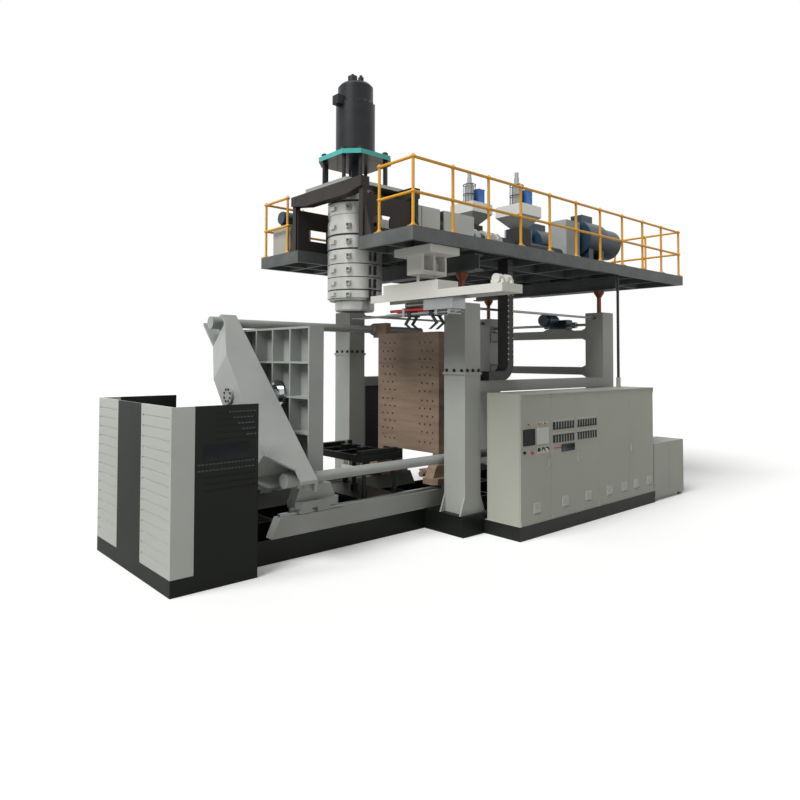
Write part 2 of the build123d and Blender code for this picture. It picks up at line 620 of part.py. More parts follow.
# Switchgear on a back plate in each compartment
with BuildPart() as control_gear:
    gear_back = CABINET_BACK - CABINET_WALL
    for left, right in zip(DOOR_EDGES[:-1], DOOR_EDGES[1:]):
        centre, room = middle((left, right)), right - left - 2 * CABINET_WALL - 80
        bar((centre - room / 2, centre + room / 2), (gear_back - 20, gear_back), (330, 1950))
        with BuildSketch(Plane.XZ.offset(-gear_back + 20)) as modules:
            with Locations((centre, 1140)):
                with GridLocations(room / 3, 380, 3, 4):
                    Rectangle(room / 3 - 50, 200)
        extrude(modules.sketch, amount=140)
save(control_gear, "control_gear")

# Doors: latch handles, raised instrument rows and vents by door
HANDLES_X = (1917, None, 2710, None, 4403)
METER_ROWS = (None, (2040, 2612), (2691, 3279), None, None)
METER_ROWS_Z = ((1340, 1440), (1560, 1660))
VENTS_X = ((1631,), (2351,), (3010,), (3679, 4163), (4700, 5040))
VENT_Z = 430
VENT_SIZE = 90
HANDLE_Z = 1070
E_STOP = (1501, 1236)
E_STOP_STEM = 8
for index in range(len(DOOR_HINGES)):
    door_x = (DOOR_EDGES[index] + DOOR_SIDE_GAP, DOOR_EDGES[index + 1] - DOOR_SIDE_GAP)
    with BuildPart() as door:
        bar(door_x, (CABINET_DOOR_FRONT, CABINET_FRONT - RUN_GAP), DOOR_Z)
        edge, inward = (door_x[0], 1) if DOOR_HINGES[index] == "left" else (door_x[1], -1)
        bar(sorted((edge - inward * CLEAR, edge + inward * DOOR_RELIEF_WIDTH)),
            (CABINET_FRONT - RUN_GAP - DOOR_RELIEF, CABINET_FRONT), (DOOR_Z[0] - CLEAR, DOOR_Z[1] + CLEAR),
            mode=Mode.SUBTRACT)
        for door_end, inward in ((DOOR_Z[0], 1), (DOOR_Z[1], -1)):
            rod((hinge_x(index), HINGE_Y, door_end), (0, 0, inward), KNUCKLE_RADIUS, KNUCKLE_LENGTH)
            rod((hinge_x(index), HINGE_Y, door_end - inward * CLEAR), (0, 0, inward),
                HINGE_PIN_RADIUS + RUN_GAP, CLEAR + KNUCKLE_LENGTH / 2, Mode.SUBTRACT)
        for vent_x in VENTS_X[index]:
            bar((vent_x - VENT_SIZE / 2, vent_x + VENT_SIZE / 2),
                (CABINET_DOOR_FRONT - 6, CABINET_DOOR_FRONT), (VENT_Z - VENT_SIZE / 2, VENT_Z + VENT_SIZE / 2))
        if METER_ROWS[index]:
            for row_z in METER_ROWS_Z:
                bar(METER_ROWS[index], (CABINET_DOOR_FRONT - 8, CABINET_DOOR_FRONT), row_z)
        if HANDLES_X[index]:
            handle_x = HANDLES_X[index]
            bar((handle_x - 14, handle_x + 14), (CABINET_DOOR_FRONT - 26, CABINET_DOOR_FRONT),
                (HANDLE_Z - 70, HANDLE_Z + 70))
        if index == 0:
            rod((E_STOP[0], CABINET_DOOR_FRONT - CLEAR, E_STOP[1]), (0, 1, 0), E_STOP_STEM + RUN_GAP,
                DOOR_THICK + 2 * CLEAR, Mode.SUBTRACT)
    save(door, f"door_{index + 1}")

with BuildPart() as door_instruments:
    for panel_x, panel_z in (((1285, 1563), (1348, 1586)), ((1627, 1906), (1349, 1592))):
        bar(panel_x, (CABINET_DOOR_FRONT - 14, CABINET_DOOR_FRONT), panel_z)
        bar((panel_x[0] + 30, panel_x[1] - 30), (CABINET_DOOR_FRONT - 16, CABINET_DOOR_FRONT - 10),
            (panel_z[0] + 30, panel_z[1] - 30), mode=Mode.SUBTRACT)
    for knob_x in (1690, 1777, 1864, 1307):
        rod((knob_x, CABINET_DOOR_FRONT, 1255), (0, -1, 0), 20, 24)
    for lamp_x in (1690, 1777, 1864):
        rod((lamp_x, CABINET_DOOR_FRONT, 1660), (0, -1, 0), 14, 12)
save(door_instruments, "door_instruments")

E_STOP_TRAVEL = 6
with BuildPart() as emergency_stop:
    head_back = CABINET_DOOR_FRONT - E_STOP_TRAVEL - 2
    rod((E_STOP[0], head_back, E_STOP[1]), (0, -1, 0), 22, 20)
    fillet(emergency_stop.edges().group_by(Axis.Y)[0], 6)
    rod((E_STOP[0], head_back, E_STOP[1]), (0, 1, 0), E_STOP_STEM, DOOR_THICK + 2)
save(emergency_stop, "emergency_stop")

with BuildPart() as rear_cabinet:
    front = CABINET_DOOR_FRONT
    bar(REAR_CABINET_X, (front, REAR_CABINET_BACK), REAR_CABINET_Z)
    for seam_x in (REAR_CABINET_X[0] + 40, middle(REAR_CABINET_X), REAR_CABINET_X[1] - 40):
        bar((seam_x - 3, seam_x + 3), (front - CLEAR, front + 8),
            (REAR_CABINET_Z[0] + 30, REAR_CABINET_Z[1] - 30), mode=Mode.SUBTRACT)
    with Locations((middle(REAR_CABINET_X), middle((front, REAR_CABINET_BACK)), REAR_CABINET_Z[0])):
        with GridLocations(REAR_CABINET_X[1] - REAR_CABINET_X[0] - 160, REAR_CABINET_BACK - front - 100, 2, 2):
            Box(80, 60, REAR_CABINET_Z[0], align=(Align.CENTER, Align.CENTER, Align.MAX))
save(rear_cabinet, "rear_cabinet")

with BuildPart() as side_cabinet:
    bar(SIDE_CABINET_X, SIDE_CABINET_Y, (0, CABINET_TOP))
    end_face = Plane(origin=(SIDE_CABINET_X[0], middle(SIDE_CABINET_Y), CABINET_LOUVRE_Z),
                     x_dir=(0, -1, 0), z_dir=(-1, 0, 0))
    near_face = Plane(origin=(middle(SIDE_CABINET_X), SIDE_CABINET_Y[0], CABINET_LOUVRE_Z),
                      x_dir=(1, 0, 0), z_dir=(0, -1, 0))
    end_width = SIDE_CABINET_Y[1] - SIDE_CABINET_Y[0] - 2 * CABINET_LOUVRE_MARGIN
    louvres(end_face, end_width, CABINET_LOUVRE_ROWS, CABINET_LOUVRE_PITCH)
    louvres(near_face, CABINET_LOUVRE_WIDTH, CABINET_LOUVRE_ROWS, CABINET_LOUVRE_PITCH)
save(side_cabinet, "side_cabinet")

# Platform deck: framed plate with a notch for the die head, on two girders
DECK_OUTLINE = ((DECK_X[0], -DECK_HALF_WIDTH), (DECK_X[1], -DECK_HALF_WIDTH), (DECK_X[1], DECK_HALF_WIDTH),
                (DECK_X[0], DECK_HALF_WIDTH), (DECK_X[0], NOTCH_HALF_WIDTH), (NOTCH_DEPTH_X, NOTCH_HALF_WIDTH),
                (NOTCH_DEPTH_X, -NOTCH_HALF_WIDTH), (DECK_X[0], -NOTCH_HALF_WIDTH))
with BuildPart() as deck:
    plate(Plane.XY.offset(DECK_BOTTOM), DECK_OUTLINE, DECK_HEIGHT)
    main_length = DECK_X[1] - NOTCH_DEPTH_X - 2 * FASCIA
    bay_x, bay_y = main_length / 7, (2 * DECK_HALF_WIDTH - 2 * FASCIA) / 4
    with BuildSketch(Plane.XY.offset(DECK_BOTTOM)) as bays:
        with Locations((middle((NOTCH_DEPTH_X, DECK_X[1])), 0)):
            with GridLocations(bay_x, bay_y, 7, 4):
                Rectangle(bay_x - JOIST, bay_y - JOIST)
        wing_y = middle((NOTCH_HALF_WIDTH, DECK_HALF_WIDTH))
        wing_bay_x = (NOTCH_DEPTH_X - DECK_X[0] - FASCIA) / 2
        wing_bay_y = (DECK_HALF_WIDTH - NOTCH_HALF_WIDTH - FASCIA) / 2
        for side in (-1, 1):
            with Locations((middle((DECK_X[0], NOTCH_DEPTH_X)), side * wing_y)):
                with GridLocations(wing_bay_x, wing_bay_y, 2, 2):
                    Rectangle(wing_bay_x - FASCIA, wing_bay_y - FASCIA)
    extrude(bays.sketch, amount=DECK_HEIGHT - DECK_PLATE, mode=Mode.SUBTRACT)
    for girder_x in (FRONT_SCREW[0], REAR_SCREW[0]):
        half = GIRDER_WIDTH / 2
        web = GIRDER_FLANGE / 2
        plate(Plane.XZ.offset(-GIRDER_HALF_LENGTH),
              ((girder_x - half, GIRDER_BOTTOM), (girder_x + half, GIRDER_BOTTOM),
               (girder_x + half, GIRDER_BOTTOM + GIRDER_FLANGE), (girder_x + web, GIRDER_BOTTOM + GIRDER_FLANGE),
               (girder_x + web, DECK_BOTTOM - GIRDER_FLANGE), (girder_x + half, DECK_BOTTOM - GIRDER_FLANGE),
               (girder_x + half, DECK_BOTTOM), (girder_x - half, DECK_BOTTOM),
               (girder_x - half, DECK_BOTTOM - GIRDER_FLANGE), (girder_x - web, DECK_BOTTOM - GIRDER_FLANGE),
               (girder_x - web, GIRDER_BOTTOM + GIRDER_FLANGE), (girder_x - half, GIRDER_BOTTOM + GIRDER_FLANGE)),
              2 * GIRDER_HALF_LENGTH)
save(deck, "deck")

# Handrails: posts with foot flanges, top rail and knee rail
RAIL_LINE_Y = DECK_HALF_WIDTH - HANDRAIL_INSET
RAIL_LINE_X = (DECK_X[0] + HANDRAIL_INSET, DECK_X[1] - HANDRAIL_INSET)
INNER_POST_Y = 1162
LONG_POSTS = 11
POST_PITCH = (RAIL_LINE_X[1] - RAIL_LINE_X[0]) / (LONG_POSTS - 1)
with BuildPart() as handrails:
    left, right = RAIL_LINE_X
    posts = [(left + POST_PITCH * step, side * RAIL_LINE_Y) for step in range(LONG_POSTS) for side in (-1, 1)]
    posts += [(left, -INNER_POST_Y), (left, INNER_POST_Y)]
    posts += [(right, -RAIL_LINE_Y + END_POST_PITCH * step) for step in range(1, 5)]
    with Locations(*[(x, y, DECK_TOP) for x, y in posts]):
        Cylinder(HANDRAIL_RADIUS, HANDRAIL_HEIGHT, align=(Align.CENTER, Align.CENTER, Align.MIN))
        Box(POST_FLANGE, POST_FLANGE, CLEAR, align=(Align.CENTER, Align.CENTER, Align.MIN))
    for z in (DECK_TOP + HANDRAIL_HEIGHT / 2, DECK_TOP + HANDRAIL_HEIGHT):
        for side in (-1, 1):
            rod((left, side * INNER_POST_Y, z), (0, side, 0), HANDRAIL_RADIUS, RAIL_LINE_Y - INNER_POST_Y)
            rod((left, side * RAIL_LINE_Y, z), (1, 0, 0), HANDRAIL_RADIUS, right - left)
        with Locations(*[(x, side * RAIL_LINE_Y, z) for x in (left, right) for side in (-1, 1)]):
            Sphere(HANDRAIL_KNUCKLE)
        end_half = RAIL_LINE_Y - HANDRAIL_KNUCKLE - RUN_GAP
        rod((right, -end_half, z), (0, 1, 0), HANDRAIL_RADIUS, 2 * end_half)
save(handrails, "handrails")

with BuildPart() as lift_screws:
    for x, y in (FRONT_SCREW, REAR_SCREW):
        for side in (-1, 1):
            with BuildSketch(Plane.XZ.offset(-side * y)) as screw_section:
                with BuildLine():
                    Polyline((x, SCREW_BOTTOM), (x + SCREW_RADIUS, SCREW_BOTTOM),
                             (x + SCREW_RADIUS, GIRDER_BOTTOM - TRUMPET_HEIGHT),
                             (x + TRUMPET_RADIUS, GIRDER_BOTTOM - TRUMPET_HEIGHT / 3),
                             (x + TRUMPET_RADIUS, GIRDER_BOTTOM), (x, GIRDER_BOTTOM), close=True)
                make_face()
            revolve(screw_section.sketch, axis=Axis((x, side * y, 0), (0, 0, 1)))
save(lift_screws, "lift_screws")

# Die head body with its hanger plate, neck and die ring
NECK_RADIUS = HEAD_RADIUS - 40
with BuildPart() as die_head:
    turned(((HEAD_BORE, HEAD_BOTTOM), (HEAD_RADIUS, HEAD_BOTTOM), (HEAD_RADIUS, HEAD_NECK_Z),
            (NECK_RADIUS, HEAD_NECK_Z), (NECK_RADIUS, HEAD_BEAM_Z[1]), (HEAD_BORE, HEAD_BEAM_Z[1])))
    turned(((DIE_BORE, DIE_BOTTOM), (DIE_RADIUS, DIE_BOTTOM), (DIE_RADIUS, HEAD_BOTTOM),
            (HEAD_BORE, HEAD_BOTTOM + CLEAR), (HEAD_BORE, HEAD_BOTTOM + 150), (DIE_BORE, HEAD_BOTTOM)))
    half_x, half_y = HEAD_PLATE_HALF
    bar((-half_x, half_x), (-half_y, half_y), (HEAD_BEAM_Z[1], HEAD_BEAM_Z[1] + HEAD_PLATE_THICK))
    rod((0, 0, HEAD_BEAM_Z[1] - CLEAR), (0, 0, 1), HEAD_BORE, HEAD_PLATE_THICK + 2 * CLEAR, Mode.SUBTRACT)
save(die_head, "die_head")

with BuildPart() as heater_bands:
    for low, high in BANDS_Z:
        turned(((HEAD_RADIUS + RUN_GAP, low), (BAND_RADIUS, low), (BAND_RADIUS, high), (HEAD_RADIUS + RUN_GAP, high)))
        clamp_z = middle((low, high))
        if high < HEAD_BEAM_Z[0]:
            bar((-BAND_RADIUS - 34, -BAND_RADIUS + 12), (-60, 60), (clamp_z - 30, clamp_z + 30))
    turned(((HEAD_RADIUS + RUN_GAP, DARK_BAND_Z[0]), (BAND_RADIUS - 14, DARK_BAND_Z[0]),
            (BAND_RADIUS - 14, DARK_BAND_Z[1]), (HEAD_RADIUS + RUN_GAP, DARK_BAND_Z[1])))
    turned(((DIE_RADIUS + RUN_GAP, DIE_BOTTOM + 20), (DIE_RADIUS + 12, DIE_BOTTOM + 20),
            (DIE_RADIUS + 12, HEAD_BOTTOM - 20), (DIE_RADIUS + RUN_GAP, HEAD_BOTTOM - 20)))
save(heater_bands, "heater_bands")

HEAD_TOP = HEAD_BEAM_Z[1] + HEAD_PLATE_THICK
SIDE_WALL_X = (-550, 560)
SIDE_WALL_Y = (800, 816)
SIDE_WALL_TOP = 5030
SIDE_WINDOW_X = (-330, 30)
SIDE_WINDOW_Z = (4550, 4735)
BEAM_END_RISE = 60
POST_GUSSET_REACH = 150
POST_GUSSET_HEIGHT = 440
with BuildPart() as head_frame:
    for side in (-1, 1):
        beam_x = pair(HEAD_BEAM_X, side)
        beam_mid = middle(beam_x)
        plate(Plane.YZ.offset(beam_x[0]),
              ((HEAD_BEAM_Y[0], HEAD_BEAM_Z[0] + BEAM_END_RISE), (-HEAD_PLATE_HALF[1], HEAD_BEAM_Z[0]),
               (HEAD_PLATE_HALF[1], HEAD_BEAM_Z[0]), (HEAD_BEAM_Y[1], HEAD_BEAM_Z[0] + BEAM_END_RISE),
               (HEAD_BEAM_Y[1], HEAD_BEAM_Z[1]), (HEAD_BEAM_Y[0], HEAD_BEAM_Z[1])), beam_x[1] - beam_x[0])
        for post_y, out in ((HEAD_BEAM_Y[0], -1), (HEAD_BEAM_Y[1] - HEAD_POST, 1)):
            bar((beam_mid - HEAD_POST / 2, beam_mid + HEAD_POST / 2), (post_y, post_y + HEAD_POST),
                (DECK_TOP, HEAD_BEAM_Z[0] + BEAM_END_RISE))
            edge = post_y if out < 0 else post_y + HEAD_POST
            plate(Plane.YZ.offset(beam_mid - GUSSET_THICK / 2),
                  ((edge, DECK_TOP), (edge + out * POST_GUSSET_REACH, DECK_TOP),
                   (edge, DECK_TOP + POST_GUSSET_HEIGHT)), GUSSET_THICK)
    for side in (-1, 1):
        bar(SIDE_WALL_X, pair(SIDE_WALL_Y, side), (DECK_TOP, SIDE_WALL_TOP))
        bar(SIDE_WINDOW_X, pair((SIDE_WALL_Y[0] - CLEAR, SIDE_WALL_Y[1] + CLEAR), side), SIDE_WINDOW_Z,
            Mode.SUBTRACT)
save(head_frame, "head_frame")

with BuildPart() as head_columns:
    spots = [(sx * x, sy * y) for x, y in CROWN_COLUMNS for sx in (-1, 1) for sy in (-1, 1)]
    with Locations(*[(x, y, HEAD_TOP) for x, y in spots]):
        Cylinder(CROWN_COLUMN_RADIUS, CROWN_Z[1] + 60 - HEAD_TOP, align=(Align.CENTER, Align.CENTER, Align.MIN))
    with BuildSketch(Plane.XY.offset(CROWN_Z[1])) as nuts:
        with Locations(*spots):
            RegularPolygon(CROWN_COLUMN_RADIUS * 1.7, 6)
    extrude(nuts.sketch, amount=45)
save(head_columns, "head_columns")

with BuildPart() as top_plate:
    with BuildSketch(Plane.XY.offset(CROWN_Z[0])) as crown:
        Rectangle(2 * CROWN_HALF, 2 * CROWN_HALF)
        chamfer(crown.vertices(), CROWN_CHAMFER)
        Circle(PISTON_ROD_RADIUS + RUN_GAP, mode=Mode.SUBTRACT)
        with Locations(*spots):
            Circle(CROWN_COLUMN_RADIUS + RUN_GAP, mode=Mode.SUBTRACT)
    extrude(amount=CROWN_Z[1] - CROWN_Z[0])
    bar((CYLINDER_RADIUS + 12, CYLINDER_RADIUS + 55), (-60, -48), (CROWN_Z[1], CROWN_Z[1] + 220))
save(top_plate, "top_plate")

with BuildPart() as main_cylinder:
    turned(((CYLINDER_BORE, CROWN_Z[1]), (CYLINDER_RADIUS, CROWN_Z[1]), (CYLINDER_RADIUS, CYLINDER_SHOULDER_Z),
            (CYLINDER_CAP_RADIUS, CYLINDER_SHOULDER_Z + 40), (CYLINDER_CAP_RADIUS, CYLINDER_CAP_Z),
            (CYLINDER_BORE, CYLINDER_CAP_Z)))
    turned(((CORE_ROD_RADIUS + RUN_GAP, CYLINDER_CAP_Z), (CYLINDER_CAP_RADIUS, CYLINDER_CAP_Z),
            (CYLINDER_CAP_RADIUS - 40, CYLINDER_CAP_Z + CYLINDER_DOME),
            (CORE_ROD_RADIUS + RUN_GAP, CYLINDER_CAP_Z + CYLINDER_DOME)))
    bar((-CYLINDER_CAP_RADIUS - 130, -CYLINDER_CAP_RADIUS + 20), (-70, 70), (6590, 6730))
save(main_cylinder, "main_cylinder")

VALVE_BASE = CYLINDER_CAP_Z + CYLINDER_DOME
with BuildPart() as valve_block:
    bar((-170, 170), (-110, 110), (VALVE_BASE, VALVE_BASE + 40))
    rod((-95, -40, VALVE_BASE + 40), (0, 0, 1), 75, 75)
    rod((-95, -40, VALVE_BASE + 115), (0, 0, 1), 22, 40)
    bar((50, 110), (-70, 0), (VALVE_BASE + 40, MACHINE_TOP - 30))
    rod((80, -35, MACHINE_TOP - 30), (0, 0, 1), 24, 30)
    bar((170, 250), (-40, 20), (VALVE_BASE, VALVE_BASE + 60))
    rod((0, 0, VALVE_BASE - CLEAR), (0, 0, 1), CORE_ROD_RADIUS + RUN_GAP, 60, Mode.SUBTRACT)
save(valve_block, "valve_block")

# Accumulator piston: ring in the head, hollow rod and drive piston above
PISTON_RING_Z = (5120, 5220)
DRIVE_PISTON_Z = (CYLINDER_CAP_Z - 110, CYLINDER_CAP_Z - 10)
with BuildPart() as accumulator_piston:
    turned(((PISTON_ROD_RADIUS - 10, PISTON_RING_Z[0]), (HEAD_BORE - RUN_GAP, PISTON_RING_Z[0]),
            (HEAD_BORE - RUN_GAP, PISTON_RING_Z[1]), (PISTON_ROD_RADIUS, PISTON_RING_Z[1]),
            (PISTON_ROD_RADIUS, DRIVE_PISTON_Z[0]), (CYLINDER_BORE - RUN_GAP, DRIVE_PISTON_Z[0]),
            (CYLINDER_BORE - RUN_GAP, DRIVE_PISTON_Z[1]), (PISTON_ROD_RADIUS - 10, DRIVE_PISTON_Z[1])))
    rod((0, 0, PISTON_RING_Z[0] - CLEAR), (0, 0, 1), CORE_ROD_RADIUS + RUN_GAP,
        DRIVE_PISTON_Z[1] - PISTON_RING_Z[0] + 2 * CLEAR, Mode.SUBTRACT)
save(accumulator_piston, "accumulator_piston")

with BuildPart() as core_pin:
    turned(((0, DIE_BOTTOM), (CORE_RADIUS, DIE_BOTTOM), (CORE_RADIUS - 10, HEAD_BOTTOM + CLEAR),
            (CORE_ROD_RADIUS, HEAD_BOTTOM + 260), (CORE_ROD_RADIUS, VALVE_BASE + 30), (0, VALVE_BASE + 30)))
save(core_pin, "core_pin")


# Extruders
def at_extruder(side):
    """Y of one extruder's axis."""
    return side * EXTRUDER_Y


with BuildPart() as extruder_barrels:
    for side in (-1, 1):
        y = at_extruder(side)
        rod((BARREL_START, y, EXTRUDER_Z), (1, 0, 0), BARREL_RADIUS, BARREL_END - BARREL_START)
        inlet_end = (BAND_RADIUS + 8) * 0.62
        bar((inlet_end, BARREL_START + 40), (y - 75, y + 75), (EXTRUDER_Z - 75, EXTRUDER_Z + 75))
        bar((HOPPER_X - 180, HOPPER_X + 180), (y - 150, y + 150), (EXTRUDER_Z - 150, FEED_TOP[side]))
        for leg_x in (1207, 2300, 2900):
            bar((leg_x - 40, leg_x + 40), (y - 90, y + 90), (DECK_TOP, EXTRUDER_Z - 60))
        rod((BARREL_START + 60, y, EXTRUDER_Z), (1, 0, 0), BARREL_BORE, BARREL_END - BARREL_START, Mode.SUBTRACT)
        rod((HOPPER_X, y, EXTRUDER_Z), (0, 0, 1), BARREL_BORE, FEED_TOP[side] - EXTRUDER_Z, Mode.SUBTRACT)
save(extruder_barrels, "extruder_barrels")

with BuildPart() as barrel_covers:
    for side in (-1, 1):
        y = at_extruder(side)
        for cover_x in COVERS_X:
            bar(cover_x, (y - COVER_HALF_WIDTH, y + COVER_HALF_WIDTH), (DECK_TOP, COVER_TOP))
            bar((cover_x[0] - CLEAR, cover_x[1] + CLEAR), (y - COVER_HALF_WIDTH + 12, y + COVER_HALF_WIDTH - 12),
                (DECK_TOP - CLEAR, COVER_TOP - 12), mode=Mode.SUBTRACT)
            with Locations((middle(cover_x), y, EXTRUDER_Z)):
                Cylinder(BARREL_RADIUS + 40, cover_x[1] - cover_x[0] - 30, rotation=(0, 90, 0))
                Cylinder(BARREL_RADIUS + RUN_GAP, cover_x[1] - cover_x[0], rotation=(0, 90, 0), mode=Mode.SUBTRACT)
            bar((middle(cover_x) - 20, middle(cover_x) + 20), (y - 20, y + 20),
                (EXTRUDER_Z + BARREL_RADIUS + 30, COVER_TOP))
        for fan_x in FAN_X:
            rod((fan_x, y, EXTRUDER_Z), (1, 0, 0), FAN_RING_RADIUS, FAN_WIDTH)
            rod((fan_x, y, EXTRUDER_Z), (1, 0, 0), BARREL_RADIUS + RUN_GAP, FAN_WIDTH, Mode.SUBTRACT)
            rod((fan_x + FAN_WIDTH / 2, y - BARREL_RADIUS - 30, EXTRUDER_Z), (0, -1, 0),
                FAN_INTAKE_RADIUS, FAN_INTAKE_LENGTH)
save(barrel_covers, "barrel_covers")

SCREW_ROOT = 38
for name, side in (("extruder_screw_near", -1), ("extruder_screw_far", 1)):
    y = at_extruder(side)
    with BuildPart() as extruder_screw:
        rod((BARREL_START + 90, y, EXTRUDER_Z), (1, 0, 0), SCREW_ROOT, GEARBOX_X[0] + 80 - BARREL_START - 90)
        with Locations(*[(x, y, EXTRUDER_Z) for x in range(620, 4600, 180)]):
            Cylinder(BARREL_BORE - RUN_GAP, 18, rotation=(0, 90, 0))
    save(extruder_screw, name)

with BuildPart() as gearboxes:
    for side in (-1, 1):
        y = at_extruder(side)
        half = GEARBOX_HALF_WIDTH
        bar(GEARBOX_X, (y - half, y + half), (DECK_TOP, GEARBOX_TOP))
        fillet(gearboxes.edges().filter_by(Axis.Z).sort_by(Axis.Y)[-4 if side > 0 else 0:], 20)
        rod((GEARBOX_X[0] - CLEAR, y, EXTRUDER_Z), (1, 0, 0), SCREW_ROOT + RUN_GAP, 100 + CLEAR, Mode.SUBTRACT)
save(gearboxes, "gearboxes")

with BuildPart() as extruder_motors:
    for side in (-1, 1):
        y = at_extruder(side)
        start = GEARBOX_X[1]
        rod((start, y, MOTOR_Z), (1, 0, 0), MOTOR_NECK_RADIUS, MOTOR_NECK)
        rod((start + MOTOR_NECK, y, MOTOR_Z), (1, 0, 0), MOTOR_RADIUS, MOTOR_END - start - MOTOR_NECK)
        rod((MOTOR_END, y, MOTOR_Z), (1, 0, 0), COWL_RADIUS, COWL_END - MOTOR_END)
        box_start = start + 2 * MOTOR_NECK
        bar((box_start, box_start + MOTOR_BOX_LENGTH), (y - MOTOR_BOX_HALF, y + MOTOR_BOX_HALF),
            (MOTOR_Z + MOTOR_BOX_SEAT, MOTOR_Z + MOTOR_RADIUS + MOTOR_BOX_RISE))
        for foot_x in (start + 140, MOTOR_END - 220):
            bar((foot_x, foot_x + MOTOR_FOOT_WIDTH), (y - MOTOR_FOOT_HALF, y + MOTOR_FOOT_HALF),
                (DECK_TOP + MOTOR_SLED_HEIGHT, MOTOR_Z - 200))
        bar((start + 60, MOTOR_END), (y - MOTOR_SLED_HALF, y + MOTOR_SLED_HALF),
            (DECK_TOP, DECK_TOP + MOTOR_SLED_HEIGHT))
save(extruder_motors, "extruder_motors")

with BuildPart() as hoppers:
    for side in (-1, 1):
        y = at_extruder(side)
        throat_z, top = FEED_TOP[side], HOPPER_TOP[side]
        rim_bottom = top - HOPPER_RIM
        for grow, shift in ((0, 0), (-HOPPER_WALL, HOPPER_WALL)):
            mode = Mode.ADD if grow == 0 else Mode.SUBTRACT
            bar((HOPPER_X - HOPPER_HALF - grow, HOPPER_X + HOPPER_HALF + grow),
                (y - HOPPER_HALF - grow, y + HOPPER_HALF + grow), (rim_bottom, top + shift), mode=mode)
            with BuildSketch(Plane.XY.offset(rim_bottom)) as mouth:
                with Locations((HOPPER_X, y)):
                    Rectangle(2 * (HOPPER_HALF + grow), 2 * (HOPPER_HALF + grow))
            with BuildSketch(Plane.XY.offset(throat_z)) as throat:
                with Locations((HOPPER_X, y)):
                    Rectangle(2 * (THROAT_HALF + grow), 2 * (THROAT_HALF + grow))
            loft([mouth.sketch.face(), throat.sketch.face()], mode=mode)
save(hoppers, "hoppers")

with BuildPart() as loaders:
    for side in (-1, 1):
        y = at_extruder(side)
        top = HOPPER_TOP[side]
        lid = top + 12
        crown = lid + LOADER_HEIGHT
        bar((HOPPER_X - HOPPER_HALF, HOPPER_X + HOPPER_HALF), (y - HOPPER_HALF, y + HOPPER_HALF), (top, lid))
        rod((LOADER_X, y, lid), (0, 0, 1), LOADER_RADIUS, LOADER_HEIGHT)
        rod((LOADER_X, y, crown), (0, 0, 1), LOADER_RADIUS * 0.6, 90)
        rod((LOADER_X, y, crown + 90), (0, 0, 1), 30, 90)
        box_x = LOADER_X + LOADER_RADIUS + 20
        bar((box_x, box_x + 200), (y - 110, y + 110), (lid, lid + 220))
        bar((LOADER_X, box_x + 20), (y - 25, y + 25), (lid + 120, lid + 180))
save(loaders, "loaders")

# Hydraulic unit of the die head on the far wing
with BuildPart() as hydraulic_tank:
    bar((-440, 20), (1240, 1720), (DECK_TOP, 4890))
    bar((-420, 0), (1220, 1240), (DECK_TOP + 60, 4830))
save(hydraulic_tank, "hydraulic_tank")
with BuildPart() as pump_motor:
    rod((-430, 1450, 5020), (1, 0, 0), 118, 290)
    rod((-140, 1450, 5020), (1, 0, 0), 80, 120)
    rod((-460, 1450, 5020), (1, 0, 0), 104, 30)
    bar((-400, -180), (1360, 1540), (4890, 4960))
save(pump_motor, "pump_motor")

